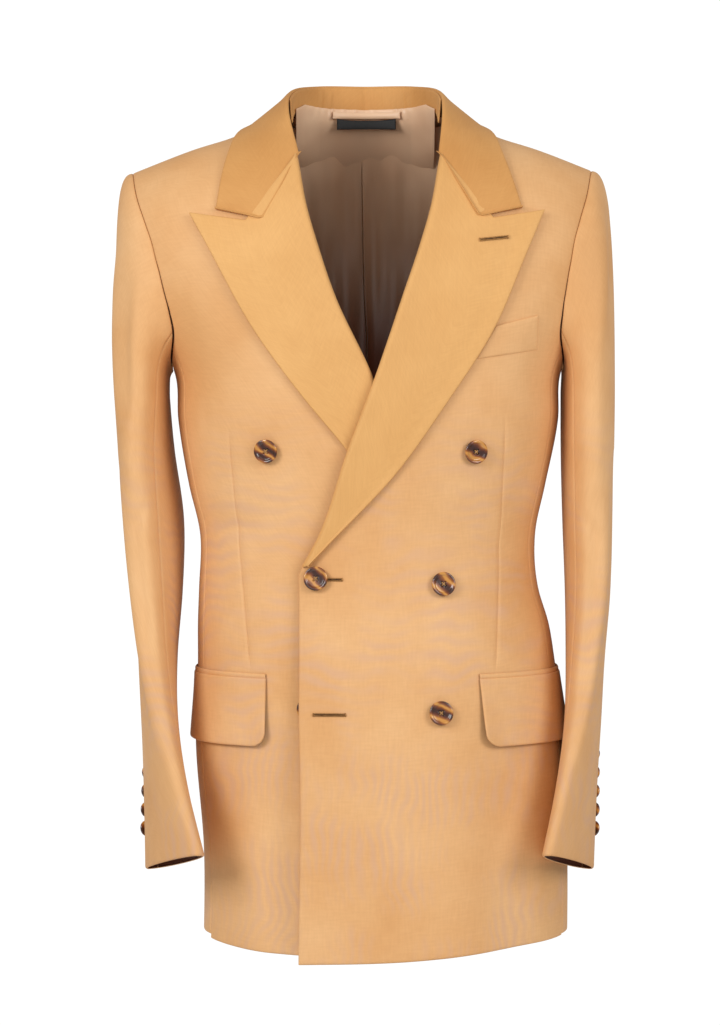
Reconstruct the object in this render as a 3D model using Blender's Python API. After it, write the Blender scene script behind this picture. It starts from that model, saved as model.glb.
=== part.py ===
"""Double breasted blazer, filled out with no wearer in it: one thin wall for each cut piece of cloth.

Metres, +Z up. The front faces -Y and the wearer's left is +X. The origin is the middle of the back
neck seam, on the line that joins the two neck points. The cloth of the body is one surface,
point(turn, rise): turn is the angle round the body in degrees, 0 at the centre front, 180 at the
centre back, positive on the wearer's left. rise is the height up to the chest line, and above it
the way over the shoulder, up to the shoulder seam at CREST.
"""
import math
from collections import namedtuple

import bpy
import numpy as np
from mathutils.bvhtree import BVHTree

# ---------------------------------------------------------------- driving dimensions
CLOTH = 0.002            # wall of the wool cloth with its interlining
LINING = 0.001           # wall of the satin lining
LINING_GAP = 0.0027      # space between the cloth and its lining
SEAM_GAP = 0.0004        # space between two pieces at a seam
ARMHOLE_GAP = 0.0008     # space between the sleeve head and the body at the armhole
LAY_GAP = 0.0012         # space under a piece that lies on another, at the middle of its facets
CHEST_Z = -0.150         # height where the chest starts to roll over to the shoulder
CREST = 0.040            # rise of the shoulder seam
NECK_X = 0.072           # half the width between the neck points
NECK_Z = -0.003          # height of the neck points
SHOULDER_SLOPE = 0.396   # drop of the shoulder seam for each metre outwards
SHOULDER_DIP = 0.003     # hollow of the shoulder seam beside the collar
RIDGE_ROUND = 0.020      # rounding of the crest at the middle of the neck
SQUARENESS = 0.035       # how far the sections of the body are squarer than an ellipse
SIDE_FRONT = 70.0        # turn of the seam between a front and its side panel
SIDE_BACK = 112.0        # turn of the seam between a side panel and its back
UNDERARM_Z = -0.240      # lowest point of the armhole
OVER_EDGE_X = -0.0593    # straight edge of the front that lies on top
UNDER_EDGE_X = 0.0650    # straight edge of the front that lies under, hidden
BREAK_Z = -0.421         # height where the lapels turn out of the front edges
BUTTON_D = 0.0215        # front button
CUFF_BUTTON_D = 0.0145   # cuff button

# Sections of the body: height, half width, middle, depth of the front half and of the back half.
Section = namedtuple("Section", "rise half_width middle front back")
BODY = [
    Section(-0.790, 0.1670, 0.0180, 0.112, 0.120),
    Section(-0.680, 0.1670, 0.0185, 0.112, 0.120),
    Section(-0.575, 0.1690, 0.0130, 0.112, 0.118),
    Section(-0.506, 0.1640, 0.0100, 0.108, 0.108),
    Section(-0.470, 0.1610, 0.0070, 0.105, 0.101),
    Section(-0.440, 0.1560, 0.0030, 0.102, 0.096),
    Section(-0.389, 0.1540, 0.0020, 0.101, 0.093),
    Section(-0.345, 0.1635, 0.0015, 0.107, 0.098),
    Section(-0.285, 0.1745, 0.0025, 0.115, 0.108),
    Section(-0.240, 0.1780, 0.0020, 0.117, 0.113),
    Section(-0.220, 0.1870, 0.0015, 0.117, 0.115),
    Section(-0.200, 0.2000, 0.0010, 0.116, 0.116),
    Section(-0.175, 0.2140, -0.0005, 0.115, 0.117),
    Section(-0.150, 0.2225, -0.0015, 0.115, 0.118),
    Section(-0.110, 0.2265, -0.0027, 0.115, 0.118),
    Section(0.0600, 0.2275, -0.0030, 0.115, 0.118),
]

# Armhole seen from the front: distance from the centre and height, shoulder to underarm.
Spot = namedtuple("Spot", "x z")
ARMHOLE = [Spot(0.2075, -0.0567), Spot(0.2010, -0.082), Spot(0.1925, -0.110), Spot(0.1860, -0.137),
           Spot(0.1810, -0.165), Spot(0.1775, -0.190), Spot(0.1765, -0.212)]

# Roll line of the lapel on top, from the neck point to the break; its twin is its mirror image.
ROLL = [Spot(0.0720, -0.0030), Spot(0.0688, -0.0145), Spot(0.0648, -0.0500), Spot(0.0575, -0.0960),
        Spot(0.0477, -0.1310), Spot(0.0330, -0.1750), Spot(0.0074, -0.2510), Spot(-0.0165, -0.3150),
        Spot(-0.0443, -0.3950), Spot(-0.0570, -0.4180)]
ROLL_MIRROR_X = 0.0028   # middle between the two roll lines
# Outer edge of a lapel from its tip to the break.
LAPEL_EDGE_LEFT = [Spot(0.1605, -0.0985), Spot(0.1430, -0.1400), Spot(0.1150, -0.2055),
                   Spot(0.0720, -0.2730), Spot(0.0290, -0.3330), Spot(-0.0360, -0.4015),
                   Spot(-0.0510, -0.4170)]
LAPEL_EDGE_RIGHT = [Spot(-0.1580, -0.1015), Spot(-0.1430, -0.1290), Spot(-0.1000, -0.2070),
                    Spot(-0.0570, -0.2660), Spot(-0.0165, -0.3150), Spot(0.0360, -0.3900),
                    Spot(0.0560, -0.4170)]
GORGE_LEFT = Spot(0.0650, -0.0470)
GORGE_RIGHT = Spot(-0.0595, -0.0470)
NOTCH_LEFT = Spot(0.1020, -0.1060)
NOTCH_RIGHT = Spot(-0.0930, -0.1080)
COLLAR_TIP_LEFT = Spot(0.1400, -0.0968)
COLLAR_TIP_RIGHT = Spot(-0.1340, -0.0985)

# How far the front on top stands off the one below it, by height.
Lift = namedtuple("Lift", "z lift")
OVERLAP = [Lift(-0.790, 0.0125), Lift(-0.650, 0.0110), Lift(-0.545, 0.0100), Lift(-0.430, 0.0066),
           Lift(-0.330, 0.0070), Lift(-0.200, 0.0065), Lift(0.050, 0.0050)]
OVERLAP_FADE = 0.080     # width over which it comes back to the body

# Hem: distance from the centre and height of the cut edge.
HEM_OVER = [Spot(-0.0600, -0.7710), Spot(0.0450, -0.7670), Spot(0.1000, -0.7620),
            Spot(0.1500, -0.7560), Spot(0.1850, -0.7525)]
HEM_UNDER = [Spot(-0.1600, -0.7520), Spot(-0.1350, -0.7570), Spot(-0.0940, -0.7620),
             Spot(0.0700, -0.7615)]
HEM_SIDE_Z = -0.7520
HEM_BACK_Z = -0.7460

# Sleeves: height, the front and the rear fold, the rounding between them. x is from the centre.
Ring = namedtuple("Ring", "z front_y rear_y front_x rear_x width")
SLEEVE_LEFT = [
    Ring(-0.262, -0.075, 0.080, 0.2045, 0.2045, 0.049),
    Ring(-0.310, -0.076, 0.075, 0.2045, 0.2035, 0.048),
    Ring(-0.375, -0.075, 0.065, 0.2045, 0.2030, 0.045),
    Ring(-0.440, -0.080, 0.055, 0.2035, 0.2035, 0.041),
    Ring(-0.500, -0.089, 0.043, 0.1970, 0.2045, 0.036),
    Ring(-0.560, -0.103, 0.027, 0.1885, 0.2065, 0.032),
    Ring(-0.620, -0.118, 0.010, 0.1760, 0.2060, 0.029),
    Ring(-0.6845, -0.134, -0.006, 0.1600, 0.2050, 0.027),
]
SLEEVE_RIGHT = [
    Ring(-0.262, -0.075, 0.080, 0.2055, 0.2045, 0.049),
    Ring(-0.310, -0.076, 0.076, 0.2080, 0.1950, 0.047),
    Ring(-0.375, -0.075, 0.066, 0.2050, 0.1825, 0.045),
    Ring(-0.440, -0.080, 0.055, 0.1985, 0.1830, 0.041),
    Ring(-0.500, -0.089, 0.043, 0.1910, 0.1890, 0.036),
    Ring(-0.560, -0.103, 0.027, 0.1800, 0.1940, 0.033),
    Ring(-0.620, -0.118, 0.010, 0.1655, 0.1965, 0.031),
    Ring(-0.6845, -0.134, -0.006, 0.1465, 0.1975, 0.029),
]
CUFF_SLANT = 0.0125      # the front of a cuff is this much above its middle, the rear below
SEAM_FRONT = -40.0       # angle of the front sleeve seam; 0 front fold, 90 outside, 180 rear fold
SEAM_REAR = 205.0        # angle of the rear sleeve seam
CAP_ROPE = 0.014         # how far the sleeve head stands out before it turns down

# Collar: share of the way from the centre back to the front end, then the fold and the fall edge.
Collar = namedtuple("Collar", "share fold_x fold_y fold_z edge_x edge_y edge_z")
COLLAR = [
    Collar(0.00, 0.0000, 0.0620, 0.0300, 0.0000, 0.0860, -0.0170),
    Collar(0.25, 0.0430, 0.0450, 0.0285, 0.0640, 0.0680, -0.0190),
    Collar(0.50, 0.0655, -0.0040, 0.0185, 0.1090, -0.0040, -0.0180),
    Collar(0.75, 0.0690, -0.0480, -0.0040, 0.1255, -0.0640, -0.0520),
]
COLLAR_CLOTH = 0.0021
COLLAR_BULGE = 0.005     # rounding of the fall at the centre back
STAND_END = 0.62         # share of the collar that has a stand inside

# Buttons: place on the front, and which front carries it.
Button = namedtuple("Button", "name x z over")
FRONT_BUTTONS = [
    Button("button_top_right", -0.0880, -0.3150, False),
    Button("button_top_left", 0.0970, -0.3155, True),
    Button("button_middle_right", -0.0440, -0.4290, True),
    Button("button_middle_left", 0.0686, -0.4340, True),
    Button("button_low_right", -0.0500, -0.5450, False),
    Button("button_low_left", 0.0665, -0.5480, True),
]
CUFF_BUTTONS = 5
CUFF_BUTTON_FIRST = 0.035   # first cuff button above the cuff edge
CUFF_BUTTON_STEP = 0.0160
CUFF_BUTTON_ANGLE = 172.0   # place round the sleeve, in front of the rear seam

# Pockets, by turn round the body and height of the top of the flap at its two ends.
Pocket = namedtuple("Pocket", "turn_in turn_out top_in top_out")
POCKET_LEFT = Pocket(29.6, 99.0, -0.5185, -0.5135)
POCKET_RIGHT = Pocket(-33.2, -103.0, -0.5185, -0.5135)
FLAP_DEEP = 0.0600
FLAP_CORNER = 0.0110
JET_TALL = 0.0050
POCKET_LONG = 0.158
JET_CLOTH = 0.0012       # folded edge above the flap
WELT_CLOTH = 0.0014
NECK_STRIP_GAP = 0.0019  # the loop and the label hang this far inside the edge of the back neck
WELT_TOP = [Spot(0.1165, -0.2040), Spot(0.1550, -0.1942)]
WELT_LOW = [Spot(0.0990, -0.2335), Spot(0.1560, -0.2243)]

# ---------------------------------------------------------------- curves and surfaces


def smooth(at, knots, values):
    """Value at `at` on a smooth curve through the knots, which rise; straight on past its ends."""
    knots = np.asarray(knots, float)
    values = np.asarray(values, float)
    slopes = np.gradient(values, knots)
    at = np.asarray(at, float)
    cell = np.clip(np.searchsorted(knots, at) - 1, 0, len(knots) - 2)
    width = knots[cell + 1] - knots[cell]
    t = (np.clip(at, knots[0], knots[-1]) - knots[cell]) / width
    return ((2 * t**3 - 3 * t**2 + 1) * values[cell] + (t**3 - 2 * t**2 + t) * width * slopes[cell]
            + (3 * t**2 - 2 * t**3) * values[cell + 1] + (t**3 - t**2) * width * slopes[cell + 1])


def column(table, name):
    """One named column of a table as an array."""
    return np.array([getattr(row, name) for row in table])


def body_size(rise, name):
    """A size of the body section at this rise."""
    return smooth(rise, column(BODY, "rise"), column(BODY, name))


def shoulder_z(x):
    """Height of the crest of the shoulder over a place across the body."""
    slope = SHOULDER_SLOPE * (np.hypot(x, RIDGE_ROUND) - math.hypot(NECK_X, RIDGE_ROUND))
    return NECK_Z - slope - SHOULDER_DIP * np.exp(-((np.abs(x) - 0.118) / 0.028) ** 2)


def across(turn):
    """Share of the half width at a turn."""
    a = np.radians(turn)
    return (np.sin(a) + SQUARENESS * np.sin(3 * a)) / (1 - SQUARENESS)


def along(turn):
    """Share of the depth at a turn, positive in front."""
    a = np.radians(turn)
    return (np.cos(a) - SQUARENESS * np.cos(3 * a)) / (1 - SQUARENESS)


def point(turn, rise):
    """Point of the outer surface of the body."""
    turn, rise = np.broadcast_arrays(np.asarray(turn, float), np.asarray(rise, float))
    x = body_size(rise, "middle") + body_size(rise, "half_width") * across(turn)
    share = along(turn)
    depth = np.where(share > 0, body_size(rise, "front"), body_size(rise, "back"))
    roll = np.clip((rise - CHEST_Z) / (CREST - CHEST_Z), 0, None) * math.pi / 2
    z = np.where(roll > 0, CHEST_Z + (shoulder_z(x) - CHEST_Z) * np.sin(roll), rise)
    return np.stack([x, -depth * share * np.cos(roll), z], -1)


def rise_at(x, z):
    """Rise of a place that is given by its distance across and its height."""
    share = np.clip((z - CHEST_Z) / (shoulder_z(x) - CHEST_Z), 0, 1)
    over = CHEST_Z + (CREST - CHEST_Z) * np.arcsin(share) * 2 / math.pi
    return np.where(z > CHEST_Z, over, z)


TURNS = np.linspace(-90, 90, 361)


def turn_at(x, rise):
    """Turn in front of the body of a place across it, at this rise."""
    share = (x - body_size(rise, "middle")) / body_size(rise, "half_width")
    return np.interp(share, across(TURNS), TURNS)


def outward(surface, a, b, step_a=0.2, step_b=0.0004):
    """Unit normal of surface(a, b), from its two tangents."""
    along_a = surface(a + step_a, b) - surface(a - step_a, b)
    along_b = surface(a, b + step_b) - surface(a, b - step_b)
    normal = np.cross(along_a, along_b)
    return normal / np.linalg.norm(normal, axis=-1, keepdims=True)


def edge_x(spots, z):
    """Distance across of an edge at this height."""
    spots = sorted(spots, key=lambda spot: spot.z)
    return smooth(z, column(spots, "z"), column(spots, "x"))


UNDER_ROLL = [Spot(2 * ROLL_MIRROR_X - spot.x, spot.z) for spot in ROLL[:6]] + [
    Spot(0.0075, -0.2510), Spot(0.0290, -0.3150), Spot(0.0530, -0.3950), Spot(0.0630, -0.4180)]
UNDER_ROLL[0] = Spot(-NECK_X, NECK_Z)


def under_edge_x(z):
    """Inner edge of the front that lies under."""
    return np.where(z > BREAK_Z, edge_x(UNDER_ROLL, z), UNDER_EDGE_X)


def over_edge_x(z):
    """Inner edge of the front that lies on top."""
    return np.where(z > BREAK_Z, edge_x(ROLL, z), OVER_EDGE_X)


def lift_over(x, z):
    """How far the front on top stands forward, over the front below it."""
    inside = np.clip((under_edge_x(z) + 0.006 - x) / OVERLAP_FADE + 1, 0, 1)
    ease = inside * inside * (3 - 2 * inside)
    return ease * smooth(z, column(OVERLAP, "z"), column(OVERLAP, "lift"))


def front_over(turn, rise):
    """Surface of the front that lies on top."""
    place = point(turn, rise)
    forward = lift_over(place[..., 0], place[..., 2])
    return place - forward[..., None] * np.array([0.0, 1.0, 0.0])


def on_front(x, z, over, forward):
    """Points straight in front of one of the fronts, given by distance across and height."""
    rise = rise_at(x, z)
    place = (front_over if over else point)(turn_at(x, rise), rise)
    place[..., 1] -= forward
    return place


def armhole_turn(rise):
    """Turn of the armhole in front of the body, mirrored for its back."""
    x = column(ARMHOLE, "x")
    z = column(ARMHOLE, "z")
    rises = rise_at(x, z)
    turns = turn_at(x, rises)
    rises = np.append(rises, [-0.229, UNDERARM_Z])[::-1]
    turns = np.append(turns, [76.0, 90.0])[::-1]
    return smooth(rise, rises, turns)


# ---------------------------------------------------------------- solids


def material(name, colour, roughness):
    """Plain finish of a piece."""
    made = bpy.data.materials.new(name)
    made.use_nodes = True
    shader = made.node_tree.nodes["Principled BSDF"]
    shader.inputs["Base Color"].default_value = (*colour, 1)
    shader.inputs["Roughness"].default_value = roughness
    shader.inputs["Metallic"].default_value = 0.0
    return made


def volume(points, faces):
    """Volume inside closed faces, below zero where they point inwards."""
    total = 0.0
    for face in faces:
        for b, c in zip(face[1:], face[2:]):
            total += np.dot(points[face[0]], np.cross(points[b], points[c])) / 6
    return total


def add_mesh(name, points, faces, finish):
    """A named object from points and faces, turned to point outwards."""
    points = np.asarray(points)
    if volume(points - points[0], faces) < 0:
        faces = [tuple(reversed(face)) for face in faces]
    mesh = bpy.data.meshes.new(name)
    mesh.from_pydata([tuple(p) for p in points], [], faces)
    mesh.materials.append(finish)
    mesh.shade_smooth()
    mesh.set_sharp_from_angle(angle=math.radians(40))
    made = bpy.data.objects.new(name, mesh)
    bpy.context.collection.objects.link(made)
    return made


def slab(name, outer, inner, finish):
    """Closed wall between two grids of points."""
    rows, cols = outer.shape[:2]
    count = rows * cols

    def at(row, col):
        return row * cols + col

    faces = []
    for r in range(rows - 1):
        for c in range(cols - 1):
            quad = (at(r, c), at(r, c + 1), at(r + 1, c + 1), at(r + 1, c))
            faces.append(quad)
            faces.append(tuple(count + i for i in reversed(quad)))
    rim = [at(0, c) for c in range(cols)]
    rim += [at(r, cols - 1) for r in range(1, rows)]
    rim += [at(rows - 1, c) for c in range(cols - 2, -1, -1)]
    rim += [at(r, 0) for r in range(rows - 2, 0, -1)]
    for first, second in zip(rim, rim[1:] + rim[:1]):
        faces.append((second, first, count + first, count + second))
    points = np.concatenate([outer.reshape(-1, 3), inner.reshape(-1, 3)])
    return add_mesh(name, points, faces, finish)


def panel(name, surface, turns, rises, wall, finish, depth=0.0):
    """Wall under a surface given by two grids; depth sets it inside the surface."""
    place = surface(turns, rises)
    normal = outward(surface, turns, rises)
    return slab(name, place - normal * depth, place - normal * (depth + wall), finish)


def patch(top, bottom, inner, outer, rows):
    """Grid between four edges in one plane, all given as points; top and bottom set its columns."""
    u = np.linspace(0, 1, len(top))[None, :, None]
    v = np.linspace(0, 1, rows)[:, None, None]
    blend = (1 - v) * top[None] + v * bottom[None] + (1 - u) * inner[:, None] + u * outer[:, None]
    corners = ((1 - u) * (1 - v) * top[0] + u * (1 - v) * top[-1]
               + (1 - u) * v * bottom[0] + u * v * bottom[-1])
    return blend - corners


def resample(spots, count):
    """Points spaced evenly along a smooth line through the spots."""
    spots = np.array(spots, float)
    knots = np.append(0, np.cumsum(np.linalg.norm(np.diff(spots, axis=0), axis=1)))
    at = np.linspace(0, knots[-1], count)
    return np.stack([smooth(at, knots, spots[:, i]) for i in range(spots.shape[1])], -1)


def bent(first, middle, last, before, after):
    """Points along two straight runs that meet at the middle spot."""
    first, middle, last = (np.array(spot, float) for spot in (first, middle, last))
    run = [first + (middle - first) * i / before for i in range(before)]
    run += [middle + (last - middle) * i / after for i in range(after + 1)]
    return np.array(run)


def seam_turn(rise):
    """Angle that half a seam gap takes up on the body."""
    return np.degrees(SEAM_GAP / 2 / body_size(rise, "half_width")) * 1.3


# ---------------------------------------------------------------- body of the jacket


def side_rises(turn):
    """Rises of the rows from the hem up to where the armhole meets the seam at this turn."""
    rises = np.linspace(CHEST_Z, UNDERARM_Z, 200)
    corner = float(np.interp(turn if turn < 90 else 180 - turn, armhole_turn(rises), rises))
    low = np.linspace(HEM_SIDE_Z, BREAK_Z, 8)[:-1]
    return np.concatenate([low, np.linspace(BREAK_Z, corner, 6)])


def facets(made):
    """The facets of a piece, to find places on them."""
    return BVHTree.FromPolygons([v.co for v in made.data.vertices], [p.vertices for p in made.data.polygons])


def front_panel(name, sign, surface, edge, hem, finish):
    """A front, from its hem to the shoulder seam, between its front edge and the side or armhole."""
    low = side_rises(SIDE_FRONT)
    rises = np.concatenate([low[:-1], np.linspace(low[-1], CHEST_Z, 4)[:-1], np.linspace(CHEST_Z, CREST, 8)])
    rises[-1] -= SEAM_GAP
    share = np.linspace(0, 1, 11)[None, :]
    outer = np.where(rises > low[-1], armhole_turn(rises), SIDE_FRONT) - seam_turn(rises)
    inner_x = np.array([edge_at(edge, rise) for rise in rises])
    inner = turn_at(inner_x, rises)
    turns = inner[:, None] + (sign * outer - inner)[:, None] * share
    grid = np.broadcast_to(rises[:, None], turns.shape).copy()
    hem_x = point(turns[0], grid[0])[..., 0]
    cut = smooth(hem_x, column(hem, "x"), column(hem, "z"))
    fade = np.clip((BREAK_Z - rises) / (BREAK_Z - rises[0]), 0, 1)
    grid += fade[:, None] * (cut - rises[0])[None, :]
    return facets(panel(name, surface, turns, grid, CLOTH, finish))


def edge_at(edge, rise):
    """Distance across where an edge given by height crosses a line of equal rise."""
    x = float(edge(np.array(rise if rise < CHEST_Z else CHEST_Z)))
    for _ in range(30):
        height = float(point(float(turn_at(x, rise)), rise)[2])
        x = float(edge(np.array(min(height, NECK_Z))))
    return x


def side_panel(name, sign, finish):
    """A side panel, from the hem up to the bottom of the armhole."""
    turns = np.linspace(SIDE_FRONT, SIDE_BACK, 7)
    turns[0] += float(seam_turn(HEM_SIDE_Z))
    turns[-1] -= float(seam_turn(HEM_SIDE_Z))
    grid = np.array([side_rises(turn) for turn in turns]).T
    grid[-1] -= SEAM_GAP
    return panel(name, point, sign * np.broadcast_to(turns, grid.shape), grid, CLOTH, finish)


def back_panel(name, sign, finish, wall=CLOTH, depth=0.0, drop=0.0):
    """A back, from the hem to the shoulder seam and the neck, up to the centre back seam."""
    low = side_rises(SIDE_BACK)
    rises = np.concatenate([low[:-1], np.linspace(low[-1], CHEST_Z, 6)[:-1], np.linspace(CHEST_Z, CREST, 8)])
    arm = 180.0 - armhole_turn(rises)
    outer = np.where(rises > low[-1], arm, SIDE_BACK) + seam_turn(rises)
    neck = 180.0 - abs(float(turn_at(sign * NECK_X, CREST)))
    first = outer[:, None] + (neck - outer)[:, None] * np.linspace(0, 1, 5)[None, :-1]
    centre = 180.0 - 0.12
    second = np.broadcast_to(np.linspace(neck, centre, 5)[None, :], (len(rises), 5))
    turns = np.concatenate([first, second], 1)
    x = np.abs(point(sign * turns[-1], np.full(turns.shape[1], CREST))[:, 0])
    neck_z = NECK_Z * (x / NECK_X) - drop
    top = np.where(x < NECK_X - 1e-4, rise_at(x, neck_z), CREST) - SEAM_GAP
    grid = np.broadcast_to(rises[:, None], turns.shape).copy()
    fade = np.clip((rises - CHEST_Z) / (CREST - CHEST_Z), 0, 1)[:, None]
    grid -= fade * (CREST - top)[None, :]
    below = np.clip((BREAK_Z - rises) / (BREAK_Z - HEM_SIDE_Z), 0, 1)[:, None]
    centre_share = np.clip((turns - SIDE_BACK) / (180.0 - SIDE_BACK), 0, 1)
    grid += below * (HEM_BACK_Z - HEM_SIDE_Z) * centre_share
    grid += below * (0.015 if drop else 0.0) - fade * drop
    return panel(name, point, sign * turns, grid, wall, finish, depth)


# ---------------------------------------------------------------- sleeves


def armhole_loop(sign, angles):
    """Points of the armhole seam for the angles round a sleeve, just outside the body."""
    rises = np.linspace(CREST, UNDERARM_Z, 120)
    front = armhole_turn(rises)
    turns = np.concatenate([front, (180.0 - front)[::-1]])
    run = point(sign * turns, np.concatenate([rises, rises[::-1]]))
    front_run, back_run = run[:120], run[120:][::-1]

    def share_of(line, share):
        length = np.append(0, np.cumsum(np.linalg.norm(np.diff(line, axis=0), axis=1)))
        at = share * length[-1]
        return np.stack([np.interp(at, length, line[:, i]) for i in range(3)], -1)

    angles = np.mod(np.asarray(angles, float) + 90.0, 360.0) - 90.0
    to_front = np.clip((90.0 - angles) / 180.0, 0, 1)
    to_back = np.clip((angles - 90.0) / 180.0, 0, 1)
    loop = np.where((angles <= 90.0)[..., None], share_of(front_run, to_front), share_of(back_run, to_back))
    loop[..., 0] += sign * ARMHOLE_GAP
    return loop


def sleeve_ring(table, sign, angles, z):
    """Points of a sleeve section: folds in front and behind, rounded between them."""
    sized = {name: smooth(-z, -column(table, "z"), column(table, name)) for name in Ring._fields[1:]}
    a = np.radians(angles)
    reach = np.cos(a)
    front = np.stack([sized["front_x"], sized["front_y"]], -1)
    rear = np.stack([sized["rear_x"], sized["rear_y"]], -1)
    axis = rear - front
    side = np.stack([axis[..., 1], -axis[..., 0]], -1)
    side /= np.linalg.norm(side, axis=-1, keepdims=True)
    bulge = np.sign(np.sin(a)) * np.abs(np.sin(a)) ** 0.85 * sized["width"] / 2
    place = (front + rear) / 2 - axis / 2 * reach[..., None] + side * bulge[..., None]
    slant = CUFF_SLANT * np.clip((-0.44 - z) / 0.24, 0, 1)
    return np.stack([sign * place[..., 0], place[..., 1], z + slant * reach], -1)


def sleeve_surface(table, sign):
    """Function of angle and length: 0 to 1 down the head of the sleeve, 1 to 2 down to the cuff."""
    top = table[0].z
    foot = table[-1].z

    def surface(angles, length):
        angles, length = np.broadcast_arrays(np.asarray(angles, float), np.asarray(length, float))
        start = armhole_loop(sign, angles)
        end = sleeve_ring(table, sign, angles, np.full(angles.shape, top))
        stand = np.clip(np.sin(np.radians(angles)), 0, 1) ** 0.5
        drop = np.clip(start[..., 2] - end[..., 2], 0.004, None)
        first = start.copy()
        first[..., 0] += sign * (CAP_ROPE * stand + 0.003)
        first[..., 2] -= 0.15 * drop * (1 - stand)
        second = end.copy()
        second[..., 2] += 0.78 * drop
        t = np.clip(length, -0.1, 1)[..., None]
        head = ((1 - t) ** 3 * start + 3 * (1 - t) ** 2 * t * first
                + 3 * (1 - t) * t ** 2 * second + t ** 3 * end)
        arm = sleeve_ring(table, sign, angles, top + (foot - top) * np.clip(length - 1, 0, 1.1))
        return np.where((length <= 1)[..., None], head, arm)

    return surface


def sleeve_piece(name, surface, first, last, columns, finish):
    """One of the two pieces of a sleeve, between two seams."""
    lengths = np.concatenate([np.array([0.0, 0.1, 0.25, 0.45, 0.7]), np.linspace(1, 2, 12)])

    def inset(angle):
        """Angle that half a seam gap takes up at this seam, for each row."""
        run = np.linalg.norm(surface(angle + 0.5, lengths) - surface(angle - 0.5, lengths), axis=-1)
        return SEAM_GAP * 1.2 / run

    start = first + inset(first)
    end = last - inset(last)
    turns = start[:, None] + (end - start)[:, None] * np.linspace(0, 1, columns)[None, :]
    grid = np.broadcast_to(lengths[:, None], turns.shape)
    place = surface(turns, grid)
    normal = outward(surface, turns, grid, 0.5, 0.004)
    hand = np.array([np.mean(place[..., 0]), -0.02])
    away = np.sum(normal[8, columns // 2, :2] * (place[8, columns // 2, :2] - hand))
    normal *= 1 if away > 0 else -1
    return slab(name, place, place - normal * CLOTH, finish)


# ---------------------------------------------------------------- collar and lapels


def collar_curve(share, kind, tip, gorge, sign):
    """Fold or fall edge of the collar at a share of the way to its front end, on one side."""
    shares = np.append(column(COLLAR, "share"), 1.0)
    end = gorge if kind == "fold" else tip
    place = on_front(np.array(end.x), np.array(end.z), end.x > 0, LAY_GAP + COLLAR_CLOTH + 0.0010)
    axes = []
    for i, axis in enumerate("xyz"):
        values = column(COLLAR, f"{kind}_{axis}")
        last = abs(place[i]) if axis == "x" else place[i]
        axes.append(smooth(share, shares, np.append(values, last)))
    axes[0] = axes[0] * sign
    return np.stack(axes, -1)


def push_out(place, clear):
    """Move points away from the shoulder until they stand `clear` off its surface."""
    x, y, z = place[..., 0], place[..., 1], place[..., 2]
    turn = turn_at(x, np.full(x.shape, CHEST_Z + 0.03))
    half = np.where(y < 0, 0.1155, 0.1185) * along(turn)
    tall = shoulder_z(x) - CHEST_Z
    up = np.clip(z - CHEST_Z, 0, None)
    ring = np.hypot(y / half, up / tall)
    reach = np.hypot(y, up) / ring
    grow = np.maximum(1, (1 + clear / reach) / ring)
    return np.stack([x, y * grow, CHEST_Z + up * grow], -1)


def collar_grid(shares, widths):
    """Outer surface of the collar fall and the way its wall goes, for signed shares and widths."""
    rows = []
    ways = []
    for share in shares:
        sign = 1 if share >= 0 else -1
        gorge, notch, tip = ((GORGE_LEFT, NOTCH_LEFT, COLLAR_TIP_LEFT) if sign > 0
                             else (GORGE_RIGHT, NOTCH_RIGHT, COLLAR_TIP_RIGHT))
        s = abs(share)
        fold = collar_curve(s, "fold", tip, gorge, sign)
        edge = collar_curve(s, "edge", tip, gorge, sign)
        w = widths[:, None]
        line = fold + (edge - fold) * w
        front = np.clip((s - 0.5) / 0.5, 0, 1) ** 2
        nick = np.interp(widths, [0, 0.55, 1], [gorge.x, notch.x, tip.x])
        nick_z = np.interp(widths, [0, 0.55, 1], [gorge.z, notch.z, tip.z]) + SEAM_GAP * 1.4
        flat = on_front(nick, nick_z, sign > 0, LAY_GAP + COLLAR_CLOTH + 0.0010)
        straight = flat[0] + (flat[-1] - flat[0]) * w
        line = line + front * (flat - straight)
        rise = COLLAR_BULGE * max(0.0, 1 - 2 * s) * 4 * w * (1 - w)
        line[:, 2] += rise[:, 0]
        clear = 0.0045 * (1 - front) + 0.0028 * front
        rows.append(push_out(line, clear) if s < 1 else flat)
        ways.append(np.full(len(widths), front))
    return np.array(rows), np.array(ways)


def grid_normals(grid):
    """Normals of a grid of points."""
    a = np.gradient(grid, axis=0)
    b = np.gradient(grid, axis=1)
    normal = np.cross(a, b)
    return normal / np.linalg.norm(normal, axis=-1, keepdims=True)


def collar_fall(finish):
    """The part of the collar that folds over the back neck and the shoulders."""
    shares = np.concatenate([-np.linspace(1, 0, 13)[:-1], np.linspace(0, 1, 13)])
    widths = np.array([0, 0.14, 0.3, 0.55, 0.8, 1.0])
    outer, front = collar_grid(shares, widths)
    normal = grid_normals(outer)
    if normal[12, 3, 2] < 0:
        normal = -normal
    ahead = np.array([0.0, -1.0, 0.0])
    way = normal * (1 - front[..., None]) + ahead * front[..., None]
    way /= np.linalg.norm(way, axis=-1, keepdims=True)
    slab("collar_fall", outer, outer - way * COLLAR_CLOTH, finish)


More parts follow.
